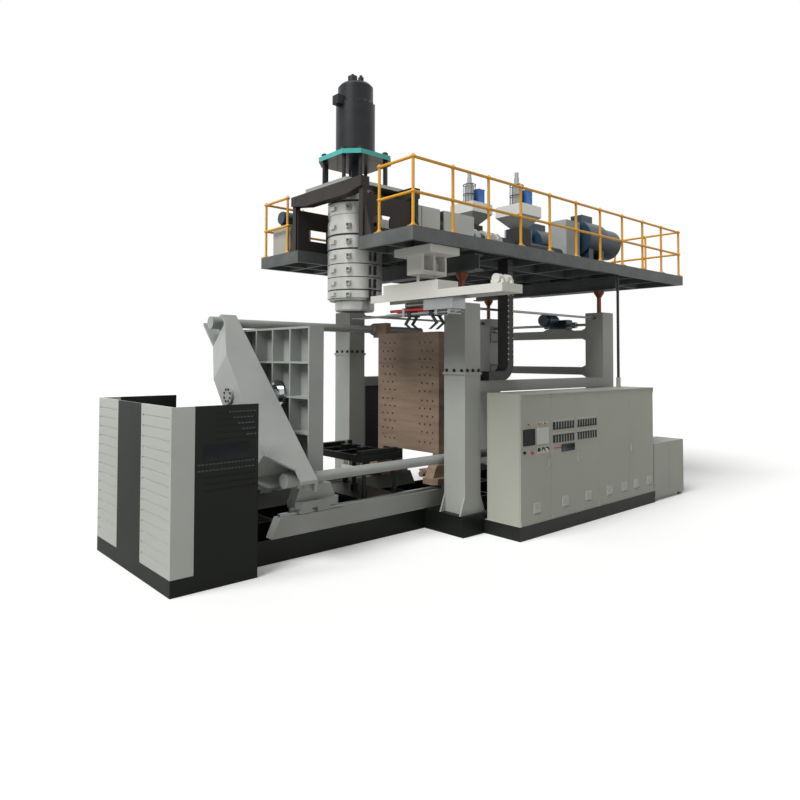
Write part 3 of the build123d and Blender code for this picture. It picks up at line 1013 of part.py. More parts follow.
# Clamp: diagonal crossbeam behind the left platen
SPAN = hypot(TIE_Y, TIE_RISE)
ALONG = (0, TIE_Y / SPAN, TIE_RISE / SPAN)
ACROSS = (0, -TIE_RISE / SPAN, TIE_Y / SPAN)
RAM_BARREL_BACK = BEAM_DEEP_UPPER + 15
COVER_RADIUS = 115
with BuildPart() as crossbeam:
    edge_top = (BEAM_HALF_DEPTH - ACROSS[2] * BEAM_HALF_Z) / ACROSS[1]
    edge_side = (BEAM_HALF_DEPTH + ACROSS[1] * BEAM_HALF_Y) / ACROSS[2]
    low_x = BEAM_DEEP_LOWER - CLEAR
    plate(Plane.YZ.offset(low_x),
          ((-BEAM_HALF_Y, MOULD_CENTRE_Z + edge_side), (edge_top, MOULD_CENTRE_Z + BEAM_HALF_Z),
           (BEAM_HALF_Y, MOULD_CENTRE_Z + BEAM_HALF_Z), (BEAM_HALF_Y, MOULD_CENTRE_Z - edge_side),
           (-edge_top, MOULD_CENTRE_Z - BEAM_HALF_Z), (-BEAM_HALF_Y, MOULD_CENTRE_Z - BEAM_HALF_Z)),
          BEAM_FRONT - low_x)
    side_view = Plane(origin=(0, 0, MOULD_CENTRE_Z), x_dir=(1, 0, 0), z_dir=ACROSS)
    end = BEAM_HALF_Y + BEAM_HALF_Z
    with BuildSketch(side_view.offset(-end)) as beam_profile:
        with BuildLine():
            Polyline((BEAM_FRONT, end), (BEAM_NOSE, end), (BEAM_NOSE, BEAM_NECK), (BEAM_DEEP_UPPER, 533),
                     (BEAM_DEEP_LOWER, -1221), (BEAM_NOSE, -1482), (BEAM_NOSE, -end), (BEAM_FRONT, -end),
                     close=True)
        make_face()
    extrude(beam_profile.sketch, amount=2 * end, mode=Mode.INTERSECT)
    with BuildSketch(side_view.offset(-BEAM_HALF_DEPTH + BEAM_CHEEK)) as nut_recess:
        for run in ((BEAM_NECK, end), (-end, -BEAM_NECK)):
            with Locations((middle((low_x - CLEAR, NUT_SEAT)), middle(run))):
                Rectangle(NUT_SEAT - low_x + CLEAR, run[1] - run[0])
    extrude(nut_recess.sketch, amount=2 * (BEAM_HALF_DEPTH - BEAM_CHEEK), mode=Mode.SUBTRACT)
    rod((RAM_BARREL_BACK, 0, MOULD_CENTRE_Z), (1, 0, 0), RAM_BORE, BEAM_FRONT - RAM_BARREL_BACK + CLEAR,
        Mode.SUBTRACT)
    rod((RAM_BARREL_BACK, 0, MOULD_CENTRE_Z), (-1, 0, 0), COVER_RADIUS, 95)
    for side in (-1, 1):
        rod((BEAM_FRONT + CLEAR, side * TIE_Y, MOULD_CENTRE_Z + side * TIE_RISE), (-1, 0, 0),
            TIE_RADIUS + RUN_GAP, BEAM_FRONT - BEAM_DEEP_LOWER + 2 * CLEAR, Mode.SUBTRACT)
save(crossbeam, "crossbeam")

with BuildPart() as tie_bars:
    for side in (-1, 1):
        y, z = side * TIE_Y, MOULD_CENTRE_Z + side * TIE_RISE
        rod((NUT_END, y, z), (1, 0, 0), TIE_RADIUS, TIE_BAR_END - NUT_END)
        rod((NUT_END, y, z), (1, 0, 0), NUT_RADIUS, NUT_SEAT - NUT_END)
        rod((NUT_SEAT - 80, y, z), (1, 0, 0), NUT_COLLAR_RADIUS, 80)
        rod((BEAM_FRONT, y, z), (1, 0, 0), NUT_RADIUS, 30)
        rod((PLATEN_BACK - EAR_THICK - 30, y, z), (1, 0, 0), NUT_RADIUS, 30)
        rod((PLATEN_BACK, y, z), (1, 0, 0), NUT_COLLAR_RADIUS, 60)
        rod((PLATEN_BACK, y, z), (1, 0, 0), NUT_RADIUS, 120)
save(tie_bars, "tie_bars")


def platen_body(side):
    """Ribbed mould platen: front skin, pocketed back, tapped mould holes and feet."""
    x = pair((PLATEN_FRONT, PLATEN_BACK), side)
    height = PLATEN_Z[1] - PLATEN_Z[0]
    width = (-PLATEN_HALF_WIDTH, PLATEN_FAR_EDGE[side])
    bar(x, width, PLATEN_Z)
    pitch_y = (width[1] - width[0] - PLATEN_RIB) / PLATEN_COLUMNS[side]
    pitch_z = (height - PLATEN_RIB) / PLATEN_ROWS
    with BuildSketch(Plane.YZ.offset(side * PLATEN_BACK)) as ribs:
        with Locations((middle(width), middle(PLATEN_Z))):
            with GridLocations(pitch_y, pitch_z, PLATEN_COLUMNS[side], PLATEN_ROWS):
                Rectangle(pitch_y - PLATEN_RIB, pitch_z - PLATEN_RIB)
    extrude(ribs.sketch, amount=-side * (PLATEN_BACK - PLATEN_FRONT - PLATEN_SKIN), mode=Mode.SUBTRACT)
    with BuildSketch(Plane.YZ.offset(side * PLATEN_FRONT)) as mould_holes:
        with Locations((0, MOULD_CENTRE_Z)):
            with GridLocations(MOULD_BOLT_Y, MOULD_BOLT_Z, 2, 2):
                Circle(MOULD_BOLT_RADIUS)
    extrude(mould_holes.sketch, amount=side * MOULD_BOLT_DEPTH, mode=Mode.SUBTRACT)
    for near in (-1, 1):
        foot_y = pair(FOOT_Y, near)
        inner, outer = near * FOOT_Y[0], near * FOOT_Y[1]
        plate(Plane.XY.offset(FOOT_Z[0]),
              ((side * FOOT_X[0], inner), (side * FOOT_X[1], inner), (side * FOOT_X[1], outer - near * FOOT_CORNER),
               (side * (FOOT_X[1] - FOOT_CORNER), outer), (side * (FOOT_X[0] + FOOT_CORNER), outer),
               (side * FOOT_X[0], outer - near * FOOT_CORNER)), FOOT_Z[1] - FOOT_Z[0])
        pedestal_y = pair((FOOT_Y[0], RAIL_CENTRE_Y), near)
        plate(Plane.XZ.offset(-pedestal_y[1]),
              ((side * (FOOT_X[0] + 43), FOOT_Z[1]), (side * (FOOT_X[1] - 15), FOOT_Z[1]),
               (side * (FOOT_X[1] - 85), PEDESTAL_TOP), (side * (FOOT_X[0] + 130), PEDESTAL_TOP)),
              pedestal_y[1] - pedestal_y[0])
        bar(x, pair((FOOT_Y[0], PLATEN_HALF_WIDTH), near), (PEDESTAL_TOP, PLATEN_Z[0]))
        for block_x in BLOCK_X:
            bar(pair(block_x, side), foot_y, (GUIDE_TOP + CLEAR, FOOT_Z[0]))
        for wiper_x in WIPER_X:
            bar(pair(wiper_x, side), pair(WIPER_Y, near), (GUIDE_TOP + CLEAR, FOOT_Z[0] + 20))
        rail_gap = RAIL_WIDTH / 2 + RUN_GAP
        bar(pair((FOOT_X[0] - 2 * CLEAR, FOOT_X[1] + RAIL_WIDTH), side),
            (near * RAIL_CENTRE_Y - rail_gap, near * RAIL_CENTRE_Y + rail_gap),
            (GUIDE_TOP, GUIDE_TOP + RAIL_HEIGHT + RUN_GAP), mode=Mode.SUBTRACT)


with BuildPart() as left_platen:
    platen_body(-1)
save(left_platen, "left_platen")

with BuildPart() as right_platen:
    platen_body(1)
    ear_x = PLATEN_BACK - EAR_THICK
    for side, edge in ((-1, PLATEN_Z[0]), (1, PLATEN_Z[1])):
        ear_y, ear_z = side * TIE_Y, MOULD_CENTRE_Z + side * TIE_RISE
        bar((ear_x, PLATEN_BACK), pair((PLATEN_HALF_WIDTH - EAR_OVERLAP, TIE_Y), side),
            pair((edge - side * EAR_OVERLAP, ear_z + side * EAR_RADIUS), 1))
        rod((ear_x, ear_y, ear_z), (1, 0, 0), EAR_RADIUS, EAR_THICK)
        rod((ear_x - CLEAR, ear_y, ear_z), (1, 0, 0), TIE_RADIUS + RUN_GAP, EAR_THICK + 2 * CLEAR, Mode.SUBTRACT)
    bar((FOOT_X[0] + 160, FOOT_X[1]), (-560, -360), (FOOT_Z[1] + 60, FOOT_Z[1] + 90))
    bar((FOOT_X[0] + 200, FOOT_X[1] - 40), (-FOOT_Y[0], -540), (FOOT_Z[1] + 60, FOOT_Z[1] + 90))
    rod((1030, -450, FOOT_Z[1] + 22), (1, 0, 0), 48, 560)
save(right_platen, "right_platen")

# Telescopic clamp ram between crossbeam and left platen
SLEEVE_RADIUS = RAM_BORE - RUN_GAP
RAM_ROD_RADIUS = SLEEVE_RADIUS - RAM_WALL - RUN_GAP
with BuildPart() as ram_sleeve:
    rod((RAM_BARREL_BACK + RUN_GAP, 0, MOULD_CENTRE_Z), (1, 0, 0), SLEEVE_RADIUS,
        BEAM_FRONT + CLEAR - RAM_BARREL_BACK)
    rod((RAM_BARREL_BACK + RAM_WALL, 0, MOULD_CENTRE_Z), (1, 0, 0), SLEEVE_RADIUS - RAM_WALL,
        BEAM_FRONT + CLEAR - RAM_BARREL_BACK, Mode.SUBTRACT)
save(ram_sleeve, "ram_sleeve")

with BuildPart() as ram_rod:
    rod_start = RAM_BARREL_BACK + RAM_WALL + RUN_GAP
    rod((rod_start, 0, MOULD_CENTRE_Z), (1, 0, 0), RAM_ROD_RADIUS, -PLATEN_BACK - 40 - rod_start)
    rod((-PLATEN_BACK - 40, 0, MOULD_CENTRE_Z), (1, 0, 0), RAM_ROD_RADIUS + 60, 40)
save(ram_rod, "ram_rod")

# Lift table on four guide rods, with two blow pins
with BuildPart() as lift_table:
    bar((-TABLE_HALF[0], TABLE_HALF[0]), (-TABLE_HALF[1], TABLE_HALF[1]), TABLE_Z)
    with BuildSketch(Plane.XY.offset(TABLE_Z[0])) as windows:
        with GridLocations(TABLE_HALF[0], TABLE_HALF[1] * 0.62, 2, 2):
            Rectangle(TABLE_HALF[0] - 60, TABLE_HALF[1] * 0.62 - 60)
    extrude(windows.sketch, amount=TABLE_Z[1] - TABLE_Z[0], mode=Mode.SUBTRACT)
    rod_bottom = TABLE_ROD_BOTTOM
    rod((0, 0, LIFT_CYLINDER_FLOOR + CLEAR), (0, 0, 1), LIFT_ROD_RADIUS, TABLE_Z[0] - LIFT_CYLINDER_FLOOR - CLEAR)
    with Locations((0, 0, rod_bottom)):
        with GridLocations(2 * TABLE_ROD_AT[0], 2 * TABLE_ROD_AT[1], 2, 2):
            Cylinder(TABLE_ROD_RADIUS, TABLE_Z[0] + 20 - rod_bottom, align=(Align.CENTER, Align.CENTER, Align.MIN))
    pin_block_z = (TABLE_Z[1], TABLE_Z[1] + 60)
    for side in (-1, 1):
        y = side * BLOW_PIN_PITCH / 2
        bar((-70, 70), (y - 60, y + 60), (TABLE_Z[0], pin_block_z[1]))
        rod((0, y, TABLE_Z[0] - CLEAR), (0, 0, 1), BLOW_PIN_RADIUS + RUN_GAP, 200, Mode.SUBTRACT)
        bar((-TABLE_HALF[0] + 20, TABLE_HALF[0] - 20), (side * 560 - 40, side * 560 + 40), pin_block_z)
save(lift_table, "lift_table")

with BuildPart() as blow_pins:
    for side in (-1, 1):
        y = side * BLOW_PIN_PITCH / 2
        rod((0, y, TABLE_Z[0] - 150), (0, 0, 1), BLOW_PIN_RADIUS, TABLE_Z[1] + 110 - TABLE_Z[0] + 150)
    bar((-70, 70), (-BLOW_PIN_PITCH / 2 - 50, BLOW_PIN_PITCH / 2 + 50), (TABLE_Z[0] - 210, TABLE_Z[0] - 150))
    rod((0, 0, TABLE_Z[0]), (0, 0, -1), LIFT_ROD_RADIUS + CLEAR, 300, Mode.SUBTRACT)
save(blow_pins, "blow_pins")

# Take-out robot
with BuildPart() as robot_bracket:
    bar(ROBOT_PLATE_X, ROBOT_PLATE_Y, (DECK_BOTTOM - ROBOT_PLATE_THICK, DECK_BOTTOM))
    for wall_x in (BRACKET_X[0], middle(BRACKET_X) - 20, BRACKET_X[1] - 40):
        bar((wall_x, wall_x + 40), BRACKET_Y, (BRACKET_BOTTOM, DECK_BOTTOM - ROBOT_PLATE_THICK))
    bar(BRACKET_X, BRACKET_Y, (BRACKET_BOTTOM, BRACKET_BOTTOM + 60))
    guide_spots = [(BRACKET_X[0] + 75, middle(BRACKET_Y)), (BRACKET_X[1] - 75, middle(BRACKET_Y))]
    for x, y in guide_spots:
        rod((x, y, BRACKET_BOTTOM), (0, 0, 1), GUIDE_ROD_RADIUS + 18, 180)
        rod((x, y, BRACKET_BOTTOM - CLEAR), (0, 0, 1), GUIDE_ROD_RADIUS + RUN_GAP, 290, Mode.SUBTRACT)
save(robot_bracket, "robot_bracket")

with BuildPart() as robot_beam:
    bar(ROBOT_BEAM_X, ROBOT_BEAM_Y, ROBOT_BEAM_Z)
    bar((ROBOT_BEAM_X[0] + 14, ROBOT_BEAM_X[1] - 14), (ROBOT_BEAM_Y[0] + 14, ROBOT_BEAM_Y[1] + CLEAR),
        (ROBOT_BEAM_Z[0] - CLEAR, ROBOT_BEAM_Z[1] - 14), mode=Mode.SUBTRACT)
    for rail_x in (ROBOT_AXIS_X - 110, ROBOT_AXIS_X + 110):
        bar((rail_x - 15, rail_x + 15), (ROBOT_BEAM_Y[0] + 14, ROBOT_BEAM_Y[1]), (ROBOT_BEAM_Z[1] - 50, ROBOT_BEAM_Z[1]))
    bar(ROBOT_BEAM_X, ROBOT_BOX_Y, (ROBOT_BEAM_Z[1], ROBOT_BOX_TOP))
    for x, y in guide_spots:
        rod((x, y, ROBOT_BOX_TOP), (0, 0, 1), GUIDE_ROD_RADIUS, 350)
    for x in (ROBOT_AXIS_X - 90, ROBOT_AXIS_X + 90):
        bar((x - 15, x + 15), (ROBOT_BEAM_Y[0] + 60, ROBOT_BEAM_Y[0] + 260), (ROBOT_BEAM_Z[1], ROBOT_BEAM_Z[1] + 60))
        rod((x - 45, ROBOT_BEAM_Y[0] + 160, ROBOT_BEAM_Z[1] + 70), (1, 0, 0), 62, 90)
save(robot_beam, "robot_beam")

CARRIAGE_Y = (-2076, -1531)
with BuildPart() as robot_carriage:
    top = ROBOT_BEAM_Z[1] - 50 - RUN_GAP
    bar((ROBOT_AXIS_X - 130, ROBOT_AXIS_X + 130), CARRIAGE_Y, (3290, top))
    rod((ROBOT_AXIS_X, -1066, 3385), (0, -1, 0), 45, 1531 - 1066)
    for x in (ROBOT_AXIS_X - 70, ROBOT_AXIS_X + 70):
        rod((x, 118, GRIPPER_Z), (0, -1, 0), 11, 118 - CARRIAGE_Y[0])
        rod((x, -705, GRIPPER_Z), (0, -1, 0), 22, 2000 - 705)
    for y in (-1990, -1750, -1100):
        bar((ROBOT_AXIS_X - 110, ROBOT_AXIS_X + 110), (y - 25, y + 25), (GRIPPER_Z - 30, 3345))
save(robot_carriage, "robot_carriage")

JAW_TOP = GRIPPER_Z - 30
for name, y, lean in (("gripper_jaw_outer", -1640, -1), ("gripper_jaw_inner", -1200, 1)):
    with BuildPart() as jaw:
        bar((ROBOT_AXIS_X - 100, ROBOT_AXIS_X + 100), (y - 35, y + 35), (GRIPPER_Z - 40, GRIPPER_Z + 36))
        for x in (ROBOT_AXIS_X - 70, ROBOT_AXIS_X + 70):
            rod((x, y + 60, GRIPPER_Z), (0, -1, 0), 22 + RUN_GAP, 120, Mode.SUBTRACT)
            plate(Plane.YZ.offset(x - 12),
                  ((y - lean * 25, JAW_TOP), (y + lean * 25, JAW_TOP), (y + lean * 115, 3110),
                   (y - lean * 20, 3025), (y - lean * 60, 3025), (y + lean * 65, 3110)), 24)
    save(jaw, name)

# Drag chain from the platform down to its tray
with BuildPart() as drag_chain:
    half = CHAIN_THICK
    low = TRAY_TOP + RUN_GAP + half
    with BuildLine(Plane.XZ.offset(-middle(CHAIN_Y))) as chain_path:
        FilletPolyline((CHAIN_X, DECK_BOTTOM - RUN_GAP), (CHAIN_X, low), (CHAIN_END_X, low), radius=CHAIN_BEND)
    with BuildSketch(Plane(origin=(CHAIN_X, middle(CHAIN_Y), DECK_BOTTOM - RUN_GAP), z_dir=(0, 0, -1))):
        Rectangle(2 * half, CHAIN_Y[1] - CHAIN_Y[0])
    sweep(path=chain_path.line)
    rod((CONDUIT_X, CONDUIT_Y, TRAY_TOP + RUN_GAP), (0, 0, 1), CONDUIT_RADIUS, DECK_BOTTOM - TRAY_TOP - 2 * RUN_GAP)
save(drag_chain, "drag_chain")
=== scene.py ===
# %% [markdown]
# # A blow moulding machine for large tanks
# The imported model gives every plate, column and cylinder in its real place.
# This script dresses it: the camera and light come first, then a finish for
# each surface, then the small pieces that the eye looks for.

# %% Load the machine
import math
import bpy
from mathutils import Matrix, Vector


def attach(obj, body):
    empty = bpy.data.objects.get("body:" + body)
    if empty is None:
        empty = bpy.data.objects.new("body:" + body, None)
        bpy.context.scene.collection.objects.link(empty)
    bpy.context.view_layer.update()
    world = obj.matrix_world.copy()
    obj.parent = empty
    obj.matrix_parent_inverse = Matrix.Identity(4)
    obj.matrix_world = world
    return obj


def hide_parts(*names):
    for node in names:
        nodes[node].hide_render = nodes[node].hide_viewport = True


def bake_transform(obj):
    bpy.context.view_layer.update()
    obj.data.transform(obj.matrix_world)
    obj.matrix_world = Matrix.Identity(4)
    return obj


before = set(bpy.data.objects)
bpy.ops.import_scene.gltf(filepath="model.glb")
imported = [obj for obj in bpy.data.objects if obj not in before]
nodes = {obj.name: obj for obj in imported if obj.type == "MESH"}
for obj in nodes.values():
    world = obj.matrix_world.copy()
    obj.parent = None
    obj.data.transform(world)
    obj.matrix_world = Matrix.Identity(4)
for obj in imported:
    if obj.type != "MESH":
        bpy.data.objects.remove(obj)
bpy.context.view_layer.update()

# %% [markdown]
# An operator works on all that is selected, so every step starts from an
# empty selection. Colours are written as they look on a screen, in sRGB hex,
# and one function turns them into the linear values that a shader needs.


# %% Selection and colour helpers
def deselect_all():
    if bpy.context.object and bpy.context.object.mode != "OBJECT":
        bpy.ops.object.mode_set(mode="OBJECT")
    bpy.ops.object.select_all(action="DESELECT")


def linear(code):
    channels = [int(code[i:i + 2], 16) / 255 for i in (1, 3, 5)]
    return [c / 12.92 if c <= 0.04045 else ((c + 0.055) / 1.055) ** 2.4 for c in channels] + [1.0]


deselect_all()
print("mid grey is", [round(c, 3) for c in linear("#808080")[:3]])

# %% [markdown]
# The camera stands at a visitor's eye height, off the operator's left corner.
# Its place and lens come from a camera fitted to the photograph's straight
# edges, so the picture's lines fall where the photograph has them.

# %% Camera
camera_data = bpy.data.cameras.new("visitor_camera")
camera_data.sensor_width = 36
camera_data.lens = 29.073
camera_data.shift_x = 0.0422
camera_data.shift_y = -0.0754
camera_data.clip_end = 200
camera = bpy.data.objects.new("visitor_camera", camera_data)
bpy.context.scene.collection.objects.link(camera)
right = Vector((0.76135, -0.64833, 0.00348)).normalized()
up = Vector((-0.02212, -0.02061, 0.99954)).normalized()
back = right.cross(up).normalized()
camera.matrix_world = Matrix((
    (right.x, up.x, back.x, -6.5026), (right.y, up.y, back.y, -7.9227),
    (right.z, up.z, back.z, 2.600), (0, 0, 0, 1)))
bpy.context.scene.camera = camera
print("camera at", [round(v, 2) for v in camera.location])

# %% [markdown]
# The photograph's light comes from high on the left: faces turned that way
# are twice as bright as those turned to the visitor. One large soft sun makes
# that difference, a faint one lifts the visitor's side, and the world adds the
# rest. Camera, mirror and glass rays see the world as white paper.

# %% Floor and light
deselect_all()
bpy.ops.mesh.primitive_plane_add(size=120, location=(0, 0, -0.002))
floor = bpy.context.object
floor.name = "studio_floor"


def add_sun(name, energy, angle, direction):
    data = bpy.data.lights.new(name, "SUN")
    data.energy = energy
    data.angle = math.radians(angle)
    sun = bpy.data.objects.new(name, data)
    bpy.context.scene.collection.objects.link(sun)
    sun.rotation_euler = Vector(direction).to_track_quat("-Z", "Y").to_euler()
    return sun


add_sun("left_roof_light", 3.3, 35, (0.66, 0.04, -0.75))
add_sun("visitor_fill", 0.12, 60, (0.1, 1.0, -0.2))
bpy.context.scene.view_settings.view_transform = "Standard"


def add_node(tree, kind, links=None, **settings):
    """Add one shader node, set its sockets or properties, and link its inputs."""
    node = tree.nodes.new(kind)
    sockets = {socket.name.lower().replace(" ", "_"): socket for socket in reversed(node.inputs)}
    for key, value in settings.items():
        if key in sockets:
            sockets[key].default_value = value
        else:
            setattr(node, key, value)
    for key, source in (links or {}).items():
        tree.links.new(source, node.inputs[key])
    return node


world = bpy.data.worlds.new("hall_light")
bpy.context.scene.world = world
world.use_nodes = True
world.node_tree.nodes.clear()
sky = world.node_tree
path = add_node(sky, "ShaderNodeLightPath")
seen = add_node(sky, "ShaderNodeMath",
                {0: path.outputs["Is Camera Ray"], 1: path.outputs["Is Glossy Ray"]}, operation="MAXIMUM")
seen_too = add_node(sky, "ShaderNodeMath", {0: seen.outputs[0], 1: path.outputs["Is Transmission Ray"]},
                    operation="MAXIMUM")
strength = add_node(sky, "ShaderNodeMapRange", {"Value": seen_too.outputs[0]}, to_min=0.2, to_max=1.0)
paper = add_node(sky, "ShaderNodeBackground", {"Strength": strength.outputs[0]}, color=(1, 1, 1, 1))
add_node(sky, "ShaderNodeOutputWorld", {"Surface": paper.outputs[0]})

# %% [markdown]
# Paint is never quite even. Every finish below starts from its real colour and
# roughness, and two noises in real millimetres break it up: a broad one for
# stains and wiped areas, and a fine one for orange peel, grain or tool marks,
# which also gives the bump.


# %% The shared recipe for a finish
def machine_finish(name, colour, second, rough, metallic=0.0, broad_mm=900, fine_mm=12, bump=0.15,
                   stretch=(1, 1, 1), amount=0.5, coat=0.0, rough_spread=0.08, specular=0.5):
    material = bpy.data.materials.new(name)
    material.use_nodes = True
    tree = material.node_tree
    tree.nodes.clear()
    place = add_node(tree, "ShaderNodeTexCoord")
    grain = add_node(tree, "ShaderNodeMapping", {"Vector": place.outputs["Object"]}, scale=stretch)
    stain = add_node(tree, "ShaderNodeTexNoise", {"Vector": grain.outputs[0]}, scale=1000 / broad_mm,
                     detail=6, roughness=0.62)
    fine = add_node(tree, "ShaderNodeTexNoise", {"Vector": grain.outputs[0]}, scale=1000 / fine_mm,
                    detail=3)
    spread = add_node(tree, "ShaderNodeMapRange", {"Value": stain.outputs[0]}, from_min=0.35,
                      from_max=0.75, to_min=0.0, to_max=amount)
    tint = add_node(tree, "ShaderNodeMix", {0: spread.outputs[0]}, data_type="RGBA")
    tint.inputs[6].default_value = linear(colour)
    tint.inputs[7].default_value = linear(second)
    gloss = add_node(tree, "ShaderNodeMapRange", {"Value": fine.outputs[0]}, from_min=0.3, from_max=0.7,
                     to_min=max(rough - rough_spread, 0.02), to_max=min(rough + rough_spread, 1.0))
    relief = add_node(tree, "ShaderNodeBump", {"Height": fine.outputs[0]}, strength=bump,
                      distance=0.0006 * fine_mm / 12)
    shader = add_node(tree, "ShaderNodeBsdfPrincipled",
                      {"Base Color": tint.outputs[2], "Roughness": gloss.outputs[0],
                       "Normal": relief.outputs[0]},
                      metallic=metallic, coat_weight=coat, specular_ior_level=specular)
    add_node(tree, "ShaderNodeOutputMaterial", {"Surface": shader.outputs[0]})
    return material


def dress(material, *names):
    for name in names:
        nodes[name].data.materials.clear()
        nodes[name].data.materials.append(material)


# a sealed floor, pale enough to vanish into the background but dark enough to keep the shadow
FLOOR_SEEN = "#fbfbfa"
FLOOR_LIFT = 0.08
floor_finish = machine_finish("pale_sealed_concrete", "#bdbdba", "#b7b7b4", 0.7, broad_mm=2500,
                              fine_mm=30, bump=0.05)
floor_tree = floor_finish.node_tree
floor_shader = next(node for node in floor_tree.nodes if node.type == "BSDF_PRINCIPLED")
floor_tint = floor_shader.inputs["Base Color"].links[0].from_socket
floor_path = add_node(floor_tree, "ShaderNodeLightPath")
floor_mix = add_node(floor_tree, "ShaderNodeMix", {0: floor_path.outputs["Is Camera Ray"], 6: floor_tint},
                     data_type="RGBA")
floor_mix.inputs[7].default_value = linear(FLOOR_SEEN)
floor_tree.links.new(floor_mix.outputs[2], floor_shader.inputs["Base Color"])
floor_glow = add_node(floor_tree, "ShaderNodeMath", {0: floor_path.outputs["Is Camera Ray"]},
                      operation="MULTIPLY")
floor_glow.inputs[1].default_value = FLOOR_LIFT
floor_tree.links.new(floor_glow.outputs[0], floor_shader.inputs["Emission Strength"])
floor_shader.inputs["Emission Color"].default_value = (1, 1, 1, 1)
floor.data.materials.append(floor_finish)
print("floor dressed")

# %% [markdown]
# The machine is mostly enamelled steel. Greys separate the columns, the clamp
# and the cabinets, black ties the base together, and yellow marks what a hand
# may hold. Bare steel is kept for what slides, and it is the only mirror-like
# surface. One colour for all the greys would be simpler, but the real parts come
# from different paint shops, and the small differences show.

# %% Enamels and powder coats
# deep black with little shine, which sets off the base and the guard
black_enamel = machine_finish("black_enamel_base", "#0e120f", "#1a1f1b", 0.42, broad_mm=700,
                              fine_mm=8, specular=0.25)
# the columns' satin grey, a shade warmer than the clamp's
column_enamel = machine_finish("grey_enamel_column", "#a3a5a0", "#8b8d88", 0.42, broad_mm=1100,
                               fine_mm=10)
# the clamp's cooler grey with wiped, slightly darker fields
clamp_enamel = machine_finish("grey_enamel_clamp", "#a2a5a1", "#868a87", 0.4, broad_mm=800,
                              fine_mm=10)
# a fine sandy texture, which takes the shine off the wide cabinet doors
cabinet_powder = machine_finish("textured_powder_cabinet", "#a7a89d", "#999a90", 0.5, broad_mm=1500,
                                fine_mm=3, bump=0.3)
# a slight metal flake, so that the guard's panels gleam beside the flat black
silver_powder = machine_finish("silver_powder_panel", "#b9bbb6", "#a9aba6", 0.34, metallic=0.35,
                               broad_mm=1300, fine_mm=3)
# mottled by boots and dust, light and dark in patches
deck_enamel = machine_finish("slate_enamel_deck", "#5a5e5d", "#3b3f40", 0.5, broad_mm=420,
                             fine_mm=10, amount=0.9)
# the warning yellow that outlines the deck
rail_enamel = machine_finish("yellow_enamel_rail", "#e0a010", "#c4860c", 0.4, broad_mm=500,
                             fine_mm=8, coat=0.1)
# a dark petrol blue, almost black in the shade
motor_enamel = machine_finish("blue_enamel_motor", "#183446", "#112735", 0.42, broad_mm=500,
                              fine_mm=8, coat=0.1)
# the one bright accent, on the crown plate's edge
teal_enamel = machine_finish("teal_enamel_crown", "#3fb6ad", "#2f9c95", 0.35, broad_mm=500,
                             fine_mm=8, coat=0.3)
# a clear blue for the loaders' fan boxes
loader_powder = machine_finish("blue_powder_loader", "#3f7ed0", "#336db8", 0.42, broad_mm=500,
                               fine_mm=4)
# a dull near-black for barrels, valves and grippers
dark_enamel = machine_finish("dark_grey_enamel", "#2b2d2e", "#1f2122", 0.45, broad_mm=500,
                             fine_mm=8, specular=0.3)
# a brown rust primer, streaked along the platen by the plane that faced it
platen_primer = machine_finish("streaked_brown_primer", "#97826f", "#6b5646", 0.55, broad_mm=330,
                               fine_mm=9, stretch=(1, 0.3, 2.2), amount=0.9)
# nearly white boxes that stand out from the doors and the bands
inlet_grey = machine_finish("pale_grey_inlet", "#c3c4bd", "#b3b4ad", 0.45, broad_mm=200, fine_mm=4)
# the palest enamel, which makes the robot read as a machine of its own
robot_enamel = machine_finish("pale_enamel_robot", "#d3d3cb", "#bfbfb7", 0.4, broad_mm=700,
                              fine_mm=9)
# vent lips worn a little paler than the guard's black
dark_grille = machine_finish("worn_black_vent_lip", "#4a4f4c", "#3a3f3c", 0.5, broad_mm=200,
                             fine_mm=4, specular=0.3)
# the chain's pins, a dotted line down its edges
pale_pin = machine_finish("pale_yellow_pin", "#d8cf8e", "#b9b078", 0.5, broad_mm=200, fine_mm=4)
print("enamels ready")

# %% Steels and plastics
# ground rails and shafts with a fine grain along their length
ground_steel = machine_finish("ground_steel", "#a5a8a8", "#8b8f90", 0.34, metallic=0.8,
                              broad_mm=300, fine_mm=2, stretch=(0.1, 1, 1))
# the ram's chrome, the only mirror on the machine
hard_chrome = machine_finish("hard_chrome_rod", "#d6d9da", "#c2c6c8", 0.12, metallic=1.0,
                             broad_mm=600, fine_mm=2, bump=0.03)
# turning marks round the head, drawn coarser than the real ones so that they still show
turned_steel = machine_finish("turned_head_steel", "#a2a4a1", "#86898a", 0.38, metallic=0.75,
                              broad_mm=400, fine_mm=4, stretch=(1, 1, 12))
# heater sheet, bright but clouded by heat
bright_sheet = machine_finish("bright_heater_sheet", "#c9cac5", "#a5a6a1", 0.36, metallic=0.6,
                              broad_mm=260, fine_mm=60, bump=0.08, stretch=(1, 1, 0.4), amount=0.8)
# folded hopper sheet, paler and more even than the heater's
hopper_sheet = machine_finish("bright_hopper_sheet", "#d3d4d0", "#c0c2bf", 0.32, metallic=0.5,
                              broad_mm=800, fine_mm=5)
# blackened iron with oily clouds, for the tall cylinder and the bolts
black_iron = machine_finish("blackened_cylinder_iron", "#15181b", "#272b2f", 0.4, metallic=0.2,
                            broad_mm=260, fine_mm=7, amount=0.8, specular=0.35)
# iron browned by the head's heat
head_iron = machine_finish("heat_browned_head_iron", "#2a2725", "#3a332e", 0.5, broad_mm=420,
                           fine_mm=9, specular=0.3, amount=0.8)
# lift screws under copper-coloured grease
screw_copper = machine_finish("greased_screw_copper", "#7d4326", "#5c2f1a", 0.4, metallic=0.5,
                              broad_mm=120, fine_mm=6)
# chain links, knobs and sockets, a soft black without shine; on the right platen the same black is painted
# shade inside the bolt holes
hole_shade_and_moulded_black = machine_finish("moulded_black_nylon", "#1c1c1e", "#28282a", 0.5, broad_mm=200,
                               fine_mm=3)
